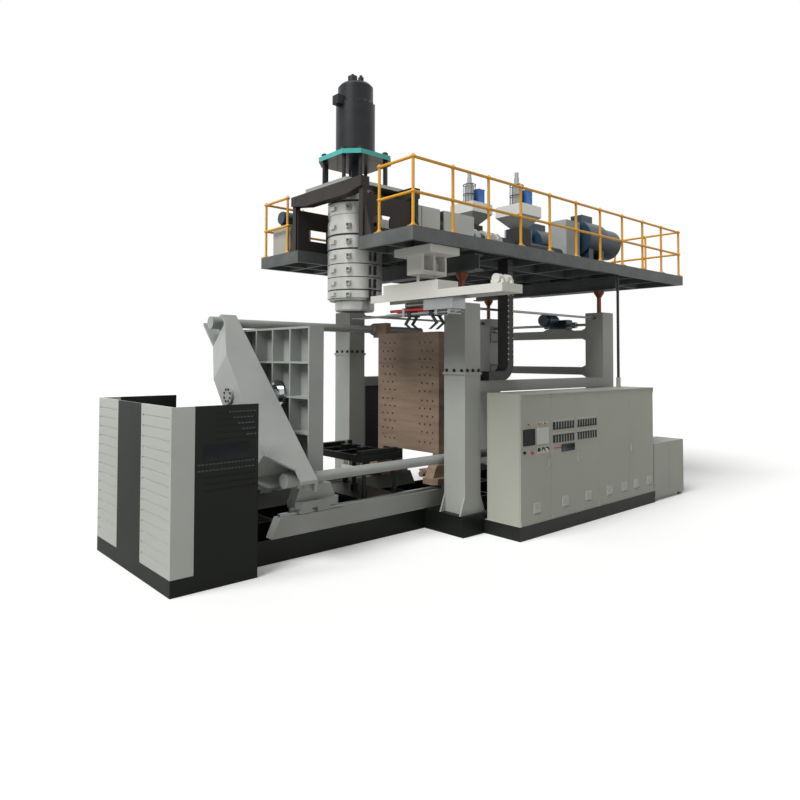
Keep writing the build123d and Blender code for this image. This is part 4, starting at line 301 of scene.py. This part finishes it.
# glossy red for buttons, lamps and the gripper's guards
moulded_red = machine_finish("moulded_red_button", "#c4201f", "#a81817", 0.3, broad_mm=60,
                             fine_mm=3, coat=0.3)
# screens and meter windows, smooth and dark
screen_black = machine_finish("instrument_black", "#15181b", "#202428", 0.3, broad_mm=200,
                              fine_mm=3, bump=0.02, specular=0.2)
print("steels and plastics ready")

# %% [markdown]
# Some parts were made as one and painted as two. A copy of the finish takes a
# second colour on one side of a level, read from the Object coordinates, which
# gives the sharp line that masking tape leaves. Painting two pieces would also
# do, but these are single plates. The crown plate's dark underside is done the
# same way, but it is painted shade, not paint.


# %% Two-colour finishes
def split_finish(base, other, axis, level_mm, below=True):
    """Give a copy of a finish another colour on one side of a level, along one axis."""
    material = base.copy()
    material.name = base.name + "_and_" + axis.lower() + str(level_mm)
    tree = material.node_tree
    shader = next(node for node in tree.nodes if node.type == "BSDF_PRINCIPLED")
    old = shader.inputs["Base Color"].links[0].from_socket
    place = add_node(tree, "ShaderNodeTexCoord")
    parts = add_node(tree, "ShaderNodeSeparateXYZ", {0: place.outputs["Object"]})
    side = add_node(tree, "ShaderNodeMath", {0: parts.outputs[axis]},
                    operation="LESS_THAN" if below else "GREATER_THAN")
    side.inputs[1].default_value = level_mm / 1000
    mix = add_node(tree, "ShaderNodeMix", {0: side.outputs[0], 6: old}, data_type="RGBA")
    mix.inputs[7].default_value = linear(other)
    tree.links.new(mix.outputs[2], shader.inputs["Base Color"])
    return material


PLINTH_TOP = 205
SECOND_PANEL_START = 1600
CROWN_UNDERSIDE = 5718
# the cabinet stands on a plinth painted like the machine's base
cabinet_on_plinth = split_finish(cabinet_powder, "#0e120f", "Z", PLINTH_TOP)
# the second panel on the door is a pale plate, the first one a dark screen
screens = split_finish(screen_black, "#c9cac4", "X", SECOND_PANEL_START, below=False)
# painted shade: the crown's underside is coloured near-black where the plate's own shadow falls
crown_painted_shade_underside = split_finish(teal_enamel, "#171a18", "Z", CROWN_UNDERSIDE)
print("two-colour finishes:", cabinet_on_plinth.name, screens.name, crown_painted_shade_underside.name)

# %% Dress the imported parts
dress(black_enamel, "base_frame", "enclosure_frame", "lift_table")
dress(head_iron, "head_frame")
dress(column_enamel, "front_columns", "guide_beams", "rear_portal", "side_beams")
dress(clamp_enamel, "crossbeam", "left_platen", "gearboxes", "screw_jacks", "tie_bars")
dress(cabinet_on_plinth, "control_cabinet")
dress(cabinet_powder, "door_1", "door_2", "door_3", "door_4", "door_5", "rear_cabinet",
      "hydraulic_tank")
dress(black_iron, "main_cylinder", "head_columns", "accumulator_piston", "core_pin")
dress(dark_enamel, "side_cabinet")
dress(silver_powder, "enclosure_panels", "barrel_covers", "control_gear")
dress(deck_enamel, "deck")
dress(rail_enamel, "handrails")
dress(motor_enamel, "extruder_motors", "pump_motor", "lift_gearmotor")
# the crown plate's near-black underside is painted shade
dress(crown_painted_shade_underside, "top_plate")
dress(loader_powder, "loaders")
dress(ground_steel, "linear_rails", "long_shaft_near", "long_shaft_far", "rear_drive_shaft",
      "extruder_screw_near", "extruder_screw_far", "robot_carriage")
dress(hard_chrome, "ram_sleeve", "ram_rod", "blow_pins")
dress(turned_steel, "die_head")
dress(bright_sheet, "heater_bands")
dress(hopper_sheet, "hoppers")
dress(dark_enamel, "valve_block", "extruder_barrels", "gripper_jaw_outer", "gripper_jaw_inner")
dress(screw_copper, "lift_screws")
dress(platen_primer, "right_platen")
dress(robot_enamel, "robot_bracket", "robot_beam")
dress(hole_shade_and_moulded_black, "drag_chain")
dress(moulded_red, "emergency_stop")
dress(screens, "door_instruments")
print("undressed:", [n for n, o in nodes.items() if not o.data.materials])

# %% [markdown]
# Small parts are cut from plain stock, as in a workshop. A primitive is the
# stock: it is added at its real size and place, shaped in edit mode, and then
# its sharp edges are broken with a bevel. Two short helpers add the stock in
# millimetres, one opens a piece with chosen faces selected, one extrudes them,
# one bores a rod, and one breaks the edges. What repeats is modelled once and
# laid out in copies, which keeps all of a kind alike.


# %% Workshop helpers
def settle(piece):
    """Write the object's place, turn and scale into its mesh."""
    deselect_all()
    piece.select_set(True)
    bpy.context.view_layer.objects.active = piece
    bpy.ops.object.transform_apply(location=True, rotation=True, scale=True)
    return piece


def box_stock(name, low, high):
    deselect_all()
    bpy.ops.mesh.primitive_cube_add(size=1, location=[(a + b) / 2000 for a, b in zip(low, high)])
    piece = bpy.context.object
    piece.name = name
    piece.scale = [(b - a) / 1000 for a, b in zip(low, high)]
    return settle(piece)


def rod_stock(name, start, end, radius, sides=24):
    deselect_all()
    start, end = Vector(start) / 1000, Vector(end) / 1000
    bpy.ops.mesh.primitive_cylinder_add(vertices=sides, radius=radius / 1000, depth=(end - start).length,
                                        location=(start + end) / 2)
    piece = bpy.context.object
    piece.name = name
    piece.rotation_euler = (end - start).to_track_quat("Z", "Y").to_euler()
    return settle(piece)


def open_faces(piece, wanted):
    """Open a piece in edit mode with only the wanted faces selected."""
    deselect_all()
    piece.select_set(True)
    bpy.context.view_layer.objects.active = piece
    bpy.context.tool_settings.mesh_select_mode = (False, False, True)
    for item in (*piece.data.vertices, *piece.data.edges):
        item.select = False
    for face in piece.data.polygons:
        face.select = wanted(face)
    bpy.ops.object.mode_set(mode="EDIT")


def close_piece():
    bpy.ops.object.mode_set(mode="OBJECT")


def push_out(x, y, z):
    """Extrude the selected faces by this many millimetres."""
    bpy.ops.mesh.extrude_region_move(TRANSFORM_OT_translate={"value": (x / 1000, y / 1000, z / 1000)})


def open_bore(piece, wall_mm, axis):
    """Turn a rod along one axis into a tube: inset both ends and bridge the two rings."""
    open_faces(piece, lambda face: abs(face.normal[axis]) > 0.9)
    bpy.ops.mesh.inset(thickness=wall_mm / 1000)
    bpy.ops.mesh.bridge_edge_loops()
    close_piece()


def facing(axis, sign=1):
    """A test for the faces that look along one axis."""
    return lambda face: face.normal[axis] * sign > 0.9


def break_edges(piece, width_mm, segments=2, smooth=35):
    deselect_all()
    piece.select_set(True)
    bpy.context.view_layer.objects.active = piece
    bevel = piece.modifiers.new("broken_edges", "BEVEL")
    bevel.width = width_mm / 1000
    bevel.segments = segments
    bevel.limit_method = "ANGLE"
    bpy.ops.object.modifier_apply(modifier=bevel.name)
    bpy.ops.object.shade_smooth_by_angle(angle=math.radians(smooth))
    return piece


def place_mm(x, y, z, axis="Z", degrees=0):
    turn = Matrix.Rotation(math.radians(degrees), 4, axis)
    return Matrix.Translation((x / 1000, y / 1000, z / 1000)) @ turn


def lay_out(pattern, places):
    """Copy a piece to each place, each copy with its own mesh, and join them."""
    copies = []
    for matrix in places:
        copy = pattern.copy()
        copy.data = pattern.data.copy()
        copy.matrix_world = matrix
        bpy.context.scene.collection.objects.link(copy)
        copies.append(copy)
    name = pattern.name
    bpy.data.objects.remove(pattern)
    deselect_all()
    for copy in copies:
        copy.select_set(True)
    bpy.context.view_layer.objects.active = copies[0]
    if len(copies) > 1:
        bpy.ops.object.join()
    copies[0].name = name
    return settle(copies[0])


def hand_over(piece, material, body):
    """Give a finished piece its finish and the body that carries it."""
    piece.data.materials.clear()
    piece.data.materials.append(material)
    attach(piece, body)
    print(piece.name, len(piece.data.polygons), "faces on", body)
    return piece


print("helpers ready")

# %% [markdown]
# Hexagon bolts hold the columns' halves, the ram's cover and the cylinder's cap.
# One bolt is a six-sided cylinder on a washer, with its top pressed in, and it
# stands along Z. A threaded bolt with a real chamfer would be truer close by,
# but at this size only the hexagon and the washer show.


# %% Hexagon bolts
def hex_bolt(name, across, height, washer):
    head = rod_stock(name, (0, 0, 0), (0, 0, height), across / 2 / math.cos(math.pi / 6), 6)
    open_faces(head, facing(2, -1))
    push_out(0, 0, 0)
    bpy.ops.transform.resize(value=(washer, washer, 1))
    push_out(0, 0, -height / 5)
    close_piece()
    open_faces(head, facing(2))
    bpy.ops.mesh.inset(thickness=across * 0.00009, depth=height * 0.0001)
    close_piece()
    return head


COLUMN_FACE, COLUMN_AXIS, JOINT_FACE = 823, 1361, 831
joint_places = []
for side, level, near_face in ((-1, 2436, -1577), (1, 2736, 1145)):
    joint_places += [place_mm(COLUMN_FACE, side * (COLUMN_AXIS + step), level, "Y", -90)
                     for step in (-150, 0, 150)]
    joint_places += [place_mm(JOINT_FACE + step, near_face, level, "X", 90) for step in (50, 176, 303)]
joint_bolts = lay_out(hex_bolt("column_joint_bolts", 36, 16, 1.35), joint_places)
hand_over(joint_bolts, black_iron, "frame")

RAM_COVER, RAM_LEVEL, RAM_RING = -2235, 2101, 85
ring = [math.radians(45 * step + 22) for step in range(8)]
ram_places = [place_mm(RAM_COVER, RAM_RING * math.cos(turn), RAM_LEVEL + RAM_RING * math.sin(turn),
                       "Y", -90) for turn in ring]
ram_bolts = lay_out(hex_bolt("ram_flange_bolts", 26, 12, 1.2), ram_places)
hand_over(ram_bolts, black_iron, "clamp_carriage")

CAP_LEVEL, CAP_RING = 6652, 300
cap_places = [place_mm(CAP_RING * math.cos(turn), CAP_RING * math.sin(turn), CAP_LEVEL, "Z",
                       math.degrees(turn)) for turn in [math.radians(22.5 * step) for step in range(16)]]
cap_bolts = lay_out(hex_bolt("cylinder_cap_bolts", 24, 16, 1.2), cap_places)
hand_over(cap_bolts, black_iron, "platform")

# %% [markdown]
# Round knuckles join the handrail's tubes. Each is a ball with a short collar on
# every side, so a coarse sphere is the stock, and the faces that look along the
# three directions are scaled outwards to make the collars. Six rods joined to a
# ball would need a boolean. Each post stands in a round flange with a socket.

# %% Handrail knuckles and feet
deselect_all()
bpy.ops.mesh.primitive_uv_sphere_add(segments=16, ring_count=8, radius=0.031, location=(0, 0, 0))
knuckle = bpy.context.object
knuckle.name = "handrail_knuckles"
open_faces(knuckle, lambda face: abs(face.normal[2]) > 0.85)
bpy.ops.transform.resize(value=(1.15, 1.15, 1.35), center_override=(0, 0, 0))
close_piece()
open_faces(knuckle, lambda face: abs(face.normal[0]) > 0.9 or abs(face.normal[1]) > 0.9)
bpy.ops.transform.resize(value=(1.25, 1.25, 1), center_override=(0, 0, 0))
close_piece()
bpy.ops.object.shade_smooth_by_angle(angle=math.radians(40))
RAIL_START, RAIL_END, RAIL_SIDE, RAIL_LEVELS = -514, 7344, 1837, (4835.5, 5303)
LONG_PITCH, END_PITCH, HEAD_POST_SIDE, FOOT_LEVEL = 785.8, 734.8, 1162, 4378
post_spots = [(RAIL_START + LONG_PITCH * step, side * RAIL_SIDE) for step in range(11) for side in (-1, 1)]
post_spots += [(RAIL_START, -HEAD_POST_SIDE), (RAIL_START, HEAD_POST_SIDE)]
post_spots += [(RAIL_END, END_PITCH * step - RAIL_SIDE) for step in range(1, 5)]
knuckles = lay_out(knuckle, [place_mm(x, y, z) for x, y in post_spots for z in RAIL_LEVELS])
hand_over(knuckles, rail_enamel, "platform")

foot = rod_stock("handrail_feet", (0, 0, 0), (0, 0, 9), 52, 20)
open_faces(foot, facing(2))
bpy.ops.mesh.inset(thickness=0.018)
push_out(0, 0, 30)
bpy.ops.transform.resize(value=(0.8, 0.8, 1))
close_piece()
break_edges(foot, 2, 1)
feet = lay_out(foot, [place_mm(x, y, FOOT_LEVEL) for x, y in post_spots])
hand_over(feet, rail_enamel, "platform")

# %% [markdown]
# Mica heater bands clamp round the die head. Each has a terminal housing turned
# to the operator, a small box with a socket sunk in its face, and a clamp bar
# with two screws further round. Both are modelled on the head's axis facing +X
# and turned about it to their place, which is simpler than modelling them askew.

# %% Heater band terminals and clamps
housing = box_stock("heater_terminals", (430, -38, -42), (492, 38, 42))
open_faces(housing, facing(0))
bpy.ops.mesh.inset(thickness=0.012)
push_out(16, 0, 0)
bpy.ops.mesh.inset(thickness=0.012, depth=-0.02)
close_piece()
break_edges(housing, 3)
BAND_LEVELS = (5097, 4930, 4640, 4403, 4176, 3965, 3760, 3580)
TERMINAL_TURN, CLAMP_TURNS = 218, (262, 274)
terminal_places = [place_mm(0, 0, level, "Z", TERMINAL_TURN) for level in BAND_LEVELS]
housings = lay_out(housing, terminal_places)
hand_over(housings, inlet_grey, "platform")

socket = rod_stock("heater_sockets", (470, 0, 0), (499, 0, 0), 15, 16)
open_faces(socket, facing(0))
bpy.ops.mesh.inset(thickness=0.006, depth=-0.012)
close_piece()
sockets = lay_out(socket, terminal_places)
hand_over(sockets, hole_shade_and_moulded_black, "platform")

clamp = box_stock("heater_clamps", (428, -14, -70), (462, 14, 70))
open_faces(clamp, facing(0))
bpy.ops.mesh.subdivide(number_cuts=2)
close_piece()
open_faces(clamp, lambda face: face.normal[0] > 0.9 and abs(abs(face.center[2]) - 0.047) < 0.02
           and abs(face.center[1]) < 0.005)
push_out(20, 0, 0)
close_piece()
break_edges(clamp, 2, 1)
clamps = lay_out(clamp, [place_mm(0, 0, level, "Z", turn) for level in BAND_LEVELS for turn in CLAMP_TURNS])
hand_over(clamps, black_iron, "platform")

# %% [markdown]
# The control cabinet's doors carry rows of panel meters, lamps and knobs. A meter
# is a moulded frame with a sunk dark window. Frame and window could be two
# pieces, but two insets, the second one with a depth, give both from one block.
# One is modelled, and the rest are copies on the pitch of the real row.

# %% Cabinet meters
DOOR_FACE = -2271


def panel_unit(name, wide, high, proud, rim, sink):
    unit = box_stock(name, (-wide / 2, DOOR_FACE - proud, -high / 2), (wide / 2, DOOR_FACE + 1, high / 2))
    open_faces(unit, facing(1, -1))
    bpy.ops.mesh.inset(thickness=rim / 1000)
    bpy.ops.mesh.inset(thickness=rim / 4000, depth=-sink / 1000)
    close_piece()
    return break_edges(unit, 1.5, 1)


METER_PITCH, METER_LEVELS, LABEL_RISE = 73.5, (1594, 1396), 82
for door, start in (("door_2", 2063), ("door_3", 2729)):
    spots = [(start + METER_PITCH * step, level) for step in range(8) for level in METER_LEVELS]
    meters = lay_out(panel_unit(door + "_meters", 46, 116, 12, 4, 3),
                     [place_mm(x, 0, z) for x, z in spots])
    hand_over(meters, screen_black, door)
    labels = lay_out(panel_unit(door + "_label_plates", 42, 24, 3, 3, 1),
                     [place_mm(x, 0, z + LABEL_RISE) for x, z in spots])
    hand_over(labels, silver_powder, door)

display = lay_out(panel_unit("door_2_load_display", 355, 112, 10, 10, 6), [place_mm(2443, 0, 1242)])
hand_over(display, screen_black, "door_2")

# %% Lamps and knobs
LAMP_PLACES = ((1410, 1652), (1679, 1651), (1822, 1651), (1303, 1238), (1514, 1235))
SMALL_LAMPS, SMALL_LAMP_LEVEL = (2068, 2112, 2156, 2200, 2236), 1260
KNOBS, KNOB_LEVEL, KNOB_PLATE_LEVEL = (1670, 1780, 1889), 1268, 1262
lamp = rod_stock("door_1_lamps", (0, DOOR_FACE - 16, 0), (0, DOOR_FACE + 1, 0), 13, 16)
open_faces(lamp, facing(1, -1))
bpy.ops.mesh.inset(thickness=0.003, depth=0.003)
close_piece()
break_edges(lamp, 3)
lamps = lay_out(lamp, [place_mm(x, 0, z) for x, z in LAMP_PLACES])
hand_over(lamps, moulded_red, "door_1")
small_lamp = rod_stock("door_2_lamps", (0, DOOR_FACE - 10, 0), (0, DOOR_FACE + 1, 0), 9, 12)
open_faces(small_lamp, facing(1, -1))
bpy.ops.mesh.inset(thickness=0.002, depth=0.002)
close_piece()
small_lamps = lay_out(small_lamp, [place_mm(x, 0, SMALL_LAMP_LEVEL) for x in SMALL_LAMPS])
hand_over(small_lamps, moulded_red, "door_2")
knob = rod_stock("door_1_knobs", (0, DOOR_FACE - 6, 0), (0, DOOR_FACE + 1, 0), 34, 24)
open_faces(knob, facing(1, -1))
bpy.ops.mesh.inset(thickness=0.012)
push_out(0, -22, 0)
bpy.ops.transform.resize(value=(0.8, 1, 0.8))
close_piece()
break_edges(knob, 2, 1)
knobs = lay_out(knob, [place_mm(x, 0, KNOB_LEVEL) for x in KNOBS])
hand_over(knobs, hole_shade_and_moulded_black, "door_1")
knob_plates = lay_out(panel_unit("door_1_knob_plates", 84, 100, 2, 4, 1),
                      [place_mm(x, 0, KNOB_PLATE_LEVEL) for x in KNOBS])
hand_over(knob_plates, robot_enamel, "door_1")

# %% [markdown]
# Low on each door a louvred air inlet lets cooling air in. It is a shallow frame
# whose face is cut into strips, and every second strip is pushed back. Slats set
# one by one would do the same with many more faces.

# %% Air inlets
INLET_LEVEL, STRIP = 420, 16
inlet = box_stock("inlet", (-80, DOOR_FACE - 9, -78), (80, DOOR_FACE + 1, 78))
open_faces(inlet, facing(1, -1))
bpy.ops.mesh.inset(thickness=0.014)
close_piece()
for level in range(-3 * STRIP, 4 * STRIP, STRIP):
    open_faces(inlet, lambda face: face.normal[1] < -0.9 and abs(face.center[0]) < 0.01)
    bpy.ops.mesh.bisect(plane_co=(0, 0, level / 1000), plane_no=(0, 0, 1))
    close_piece()
open_faces(inlet, lambda face: face.normal[1] < -0.9 and abs(face.center[0]) < 0.01
           and int(face.center[2] * 1000 + 65) // STRIP % 2 == 1)
push_out(0, 6, 0)
close_piece()
inlet_spots = {"door_1": (1615,), "door_2": (2355,), "door_3": (3019,), "door_4": (3677, 4163),
               "door_5": (4587, 5065)}
for door, spots in inlet_spots.items():
    pattern = inlet.copy()
    pattern.data = inlet.data.copy()
    bpy.context.scene.collection.objects.link(pattern)
    pattern.name = door + "_inlets"
    inlets = lay_out(pattern, [place_mm(x, 0, INLET_LEVEL) for x in spots])
    hand_over(inlets, inlet_grey, door)
bpy.data.objects.remove(inlet)

# %% [markdown]
# The right platen's face is drilled with rows of bolt holes, offset from row to
# row, for clamping different moulds. Only their dark mouths show, so each is a
# short black plug whose end is pressed in like a countersink, standing 4 mm proud of
# the drilled face; the plug's black is painted shade for the inside of the hole.
# Cutting real holes would need the plate's own mesh.

# %% Bolt holes in the right platen
PLATEN_FACE, ROW_OFFSET = 1155, 55
HOLE_COLUMNS = (302, 425, 548)
HOLE_ROWS = (2879, 2742, 2604, 2472, 2338, 2205, 2072, 1919, 1790, 1663, 1532, 1403, 1236)
hole = rod_stock("platen_bolt_holes", (PLATEN_FACE - 4, 0, 0), (PLATEN_FACE + 2, 0, 0), 15, 16)
open_faces(hole, facing(0, -1))
bpy.ops.mesh.inset(thickness=0.003)
bpy.ops.mesh.inset(thickness=0.002, depth=-0.0035)
close_piece()
hole_spots = [(side * (column + ROW_OFFSET * (row % 2)), level) for row, level in enumerate(HOLE_ROWS)
              for column in HOLE_COLUMNS for side in (-1, 1)]
holes = lay_out(hole, [place_mm(0, y, z) for y, z in hole_spots])
# the plugs' black is painted shade for the inside of each bolt hole
hand_over(holes, hole_shade_and_moulded_black, "clamp_carriage")

# %% [markdown]
# The drag chain carries cables down from the deck, which rises and sinks on its
# screws. Its straight run is cut from box stock, its end is spun round the bend
# and pushed out along the tray. The links are cut across it on their pitch and
# their faces pressed in. On the machine its top moves with the deck and its foot
# stays; here the chain, its pale pins and the conduit beside it are fixed pieces
# that reach from the one to the other. Links that roll round the bend would be
# truer, but each would need its own joint.

# %% Drag chain, pins and conduit
CHAIN_AXIS, CHAIN_HALF, CHAIN_SIDES, CHAIN_END = 1868, 70, (-1620, -1420), 1330
CHAIN_FOOT, CHAIN_TOP, BEND_RADIUS, LINK_PITCH = 2276.3, 4178.7, 190, 85
CONDUIT_PLACE = (4895, -1790)


def stretch_with_deck(piece, material):
    """Give a piece its finish and write its place into its mesh."""
    piece.data.materials.clear()
    piece.data.materials.append(material)
    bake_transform(piece)
    print(piece.name, len(piece.data.polygons), "faces stretch between frame and platform")


bend_level = CHAIN_FOOT + CHAIN_HALF + BEND_RADIUS
chain = box_stock("drag_chain_links", (CHAIN_AXIS - CHAIN_HALF, CHAIN_SIDES[0], bend_level),
                  (CHAIN_AXIS + CHAIN_HALF, CHAIN_SIDES[1], CHAIN_TOP))
open_faces(chain, facing(2, -1))
bpy.ops.mesh.spin(steps=6, angle=math.radians(-90), axis=(0, 1, 0),
                  center=((CHAIN_AXIS - BEND_RADIUS) / 1000, -1.52, bend_level / 1000))
push_out(CHAIN_END - (CHAIN_AXIS - BEND_RADIUS), 0, 0)
close_piece()
for level in range(2560, 4150, LINK_PITCH):
    open_faces(chain, lambda face: abs(face.normal[2]) < 0.1)
    bpy.ops.mesh.bisect(plane_co=(0, 0, level / 1000), plane_no=(0, 0, 1))
    close_piece()
open_faces(chain, lambda face: face.center[2] > 2.57 and (face.normal[1] < -0.9 or face.normal[0] > 0.9))
bpy.ops.mesh.inset(thickness=0.009, depth=-0.006, use_individual=True)
close_piece()
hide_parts("drag_chain")
stretch_with_deck(chain, hole_shade_and_moulded_black)

pin = rod_stock("chain_pins", (0, -5, 0), (0, 2, 0), 11, 12)
open_faces(pin, facing(1, -1))
bpy.ops.mesh.inset(thickness=0.004, depth=0.002)
close_piece()
chain_pins = [place_mm(x, CHAIN_SIDES[0], z) for x in (1808, 1928) for z in range(2602, 3800, LINK_PITCH)]
stretch_with_deck(lay_out(pin, chain_pins), pale_pin)
conduit = rod_stock("cable_conduit", (*CONDUIT_PLACE, CHAIN_FOOT), (*CONDUIT_PLACE, CHAIN_TOP), 25, 20)
open_faces(conduit, facing(2))
bpy.ops.mesh.inset(thickness=0.004, depth=-0.002)
close_piece()
stretch_with_deck(conduit, hole_shade_and_moulded_black)

# %% [markdown]
# Red guards lie along the tops of the gripper's two tubes and cover the air
# lines. Each is a length of tube, so a rod's ends are inset and the two rings
# bridged to open the bore, and both ends are rolled with a bevel. They clear the
# jaws that slide underneath.

# %% Gripper guards
guard = rod_stock("gripper_guards", (0, -2070, 3310), (0, -790, 3310), 22, 24)
open_bore(guard, 5, 1)
break_edges(guard, 2, 2)
guards = lay_out(guard, [place_mm(x, 0, 0) for x in (55, 195)])
hand_over(guards, moulded_red, "robot_carriage")

# %% [markdown]
# Each hopper is filled by a vacuum loader: a steel canister in a wire cage, and
# a blue box beside it with the fan. The canister's neck is inset and pushed up
# in three steps. The cage's hoops are rings bored from rod, with upright wires
# round them; a wireframe modifier would be quicker, but its bars would all be
# one thickness. The box is a folded housing whose lid is a little wider.

# %% Vacuum loaders
LIDS = ((-575, 5450), (575, 5700))
LOADER_AXIS, HOOP_LEVELS, WIRES = 3450, (12, 208, 404), 12
lid_places = [place_mm(0, y, z) for y, z in LIDS]
canister = rod_stock("loader_canisters", (0, 0, 12), (0, 0, 400), 88, 24)
open_faces(canister, facing(2))
bpy.ops.mesh.inset(thickness=0.012)
push_out(0, 0, 50)
bpy.ops.mesh.inset(thickness=0.03)
push_out(0, 0, 110)
bpy.ops.mesh.inset(thickness=0.008)
push_out(0, 0, 100)
close_piece()
break_edges(canister, 3, 1)
canisters = lay_out(canister, [place_mm(LOADER_AXIS, y, z) for y, z in LIDS])
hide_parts("loaders")
hand_over(canisters, turned_steel, "platform")

hoop = rod_stock("loader_cages", (0, 0, 0), (0, 0, 12), 132, 24)
open_bore(hoop, 12, 2)
hoops = lay_out(hoop, [place_mm(LOADER_AXIS, y, z + lift) for y, z in LIDS for lift in HOOP_LEVELS])
hand_over(hoops, black_iron, "platform")
wire = rod_stock("loader_wires", (126, 0, 12), (126, 0, 416), 5, 8)
open_faces(wire, facing(2))
bpy.ops.transform.resize(value=(0.6, 0.6, 1), center_override=(0.126, 0, 0.416))
close_piece()
wires = lay_out(wire, [place_mm(LOADER_AXIS, y, z, "Z", 360 / WIRES * step) for y, z in LIDS
                       for step in range(WIRES)])
hand_over(wires, black_iron, "platform")

# %% Loader boxes, lids and pipes
fan_box = box_stock("loader_fan_boxes", (3610, -110, 40), (3790, 110, 330))
open_faces(fan_box, facing(2))
bpy.ops.mesh.inset(thickness=-0.006)
push_out(0, 0, 22)
close_piece()
open_faces(fan_box, facing(1, -1))
bpy.ops.mesh.inset(thickness=0.025, depth=-0.006)
close_piece()
break_edges(fan_box, 4, 2)
fan_boxes = lay_out(fan_box, lid_places)
hand_over(fan_boxes, loader_powder, "platform")

tray = box_stock("loader_lids", (3206, -294, 0), (3794, 294, 12))
open_faces(tray, facing(2))
bpy.ops.mesh.inset(thickness=0.03)
push_out(0, 0, 4)
close_piece()
break_edges(tray, 2, 1)
trays = lay_out(tray, lid_places)
hand_over(trays, hopper_sheet, "platform")

box_foot = rod_stock("loader_box_feet", (3700, 0, 10), (3700, 0, 44), 45, 16)
open_faces(box_foot, facing(2, -1))
bpy.ops.transform.resize(value=(1.4, 1.4, 1), center_override=(3.7, 0, 0.01))
close_piece()
box_feet = lay_out(box_foot, lid_places)
hand_over(box_feet, black_iron, "platform")
pipe = rod_stock("loader_pipes", (3500, 0, 150), (3612, 0, 150), 24, 20)
open_faces(pipe, facing(0))
bpy.ops.mesh.inset(thickness=0.004)
close_piece()
pipes = lay_out(pipe, lid_places)
hand_over(pipes, hole_shade_and_moulded_black, "platform")

# %% [markdown]
# The heater bands stand a little apart, and the gaps show as dark lines round the
# head. These dark lines are painted shade: a dark ring sits in each gap, where only
# the gap's shadow falls. Each is a flat ring bored from rod.
# A spun profile would give the same ring, but the rod's helper is there already.

# %% Dark rings of painted shade between the bands
RING_RADIUS, RING_WALL = 428, 20
gaps = ((3652, 3674), (3853, 3866), (4059, 4073), (4280, 4307), (4499, 4531), (5013, 5045))
ring_parts = []
# painted shade: each dark ring fills a gap between two bands, where only the gap's shadow falls
for low, high in gaps:
    ring_part = rod_stock("insulation_ring", (0, 0, low + 1), (0, 0, high - 1), RING_RADIUS, 64)
    open_bore(ring_part, RING_WALL, 2)
    ring_parts.append(ring_part)
deselect_all()
for ring_part in ring_parts:
    ring_part.select_set(True)
bpy.context.view_layer.objects.active = ring_parts[0]
bpy.ops.object.join()
ring_parts[0].name = "insulation_rings"
bpy.ops.object.shade_smooth_by_angle(angle=math.radians(30))
# the rings take the browned head iron's colour as painted shade
hand_over(ring_parts[0], head_iron, "platform")

# %% [markdown]
# The enclosure's dark side carries a long plate, left bare here. It is a thin
# sheet whose face is pressed in and whose rim is broken. Above and below it,
# short vent slots are pressed in rows, stepped as on the real side.

# %% Enclosure plate and vent slots
long_plate = box_stock("enclosure_long_plate", (-3155, -1187, 1440), (-2576, -1181, 1625))
open_faces(long_plate, facing(1, -1))
bpy.ops.mesh.inset(thickness=0.012, depth=-0.003)
close_piece()
hand_over(break_edges(long_plate, 1.5, 1), screen_black, "frame")

slot = box_stock("enclosure_slots", (-17, -1184, -9), (17, -1180.5, 9))
open_faces(slot, facing(1, -1))
bpy.ops.mesh.inset(thickness=0.004, depth=-0.002)
close_piece()
STEPPED_ROWS = [(-2833 + 60 * step, 1985 - 68 * step) for step in range(5)]
LOW_ROWS = [(-3213, 1405), (-3213, 1335)]
ROW_END, SLOT_PITCH = -2500, 46
slot_places = [place_mm(x, 0, z) for start, z in STEPPED_ROWS + LOW_ROWS
               for x in range(start, ROW_END, SLOT_PITCH)]
slots = lay_out(slot, slot_places)
hand_over(slots, dark_grille, "frame")
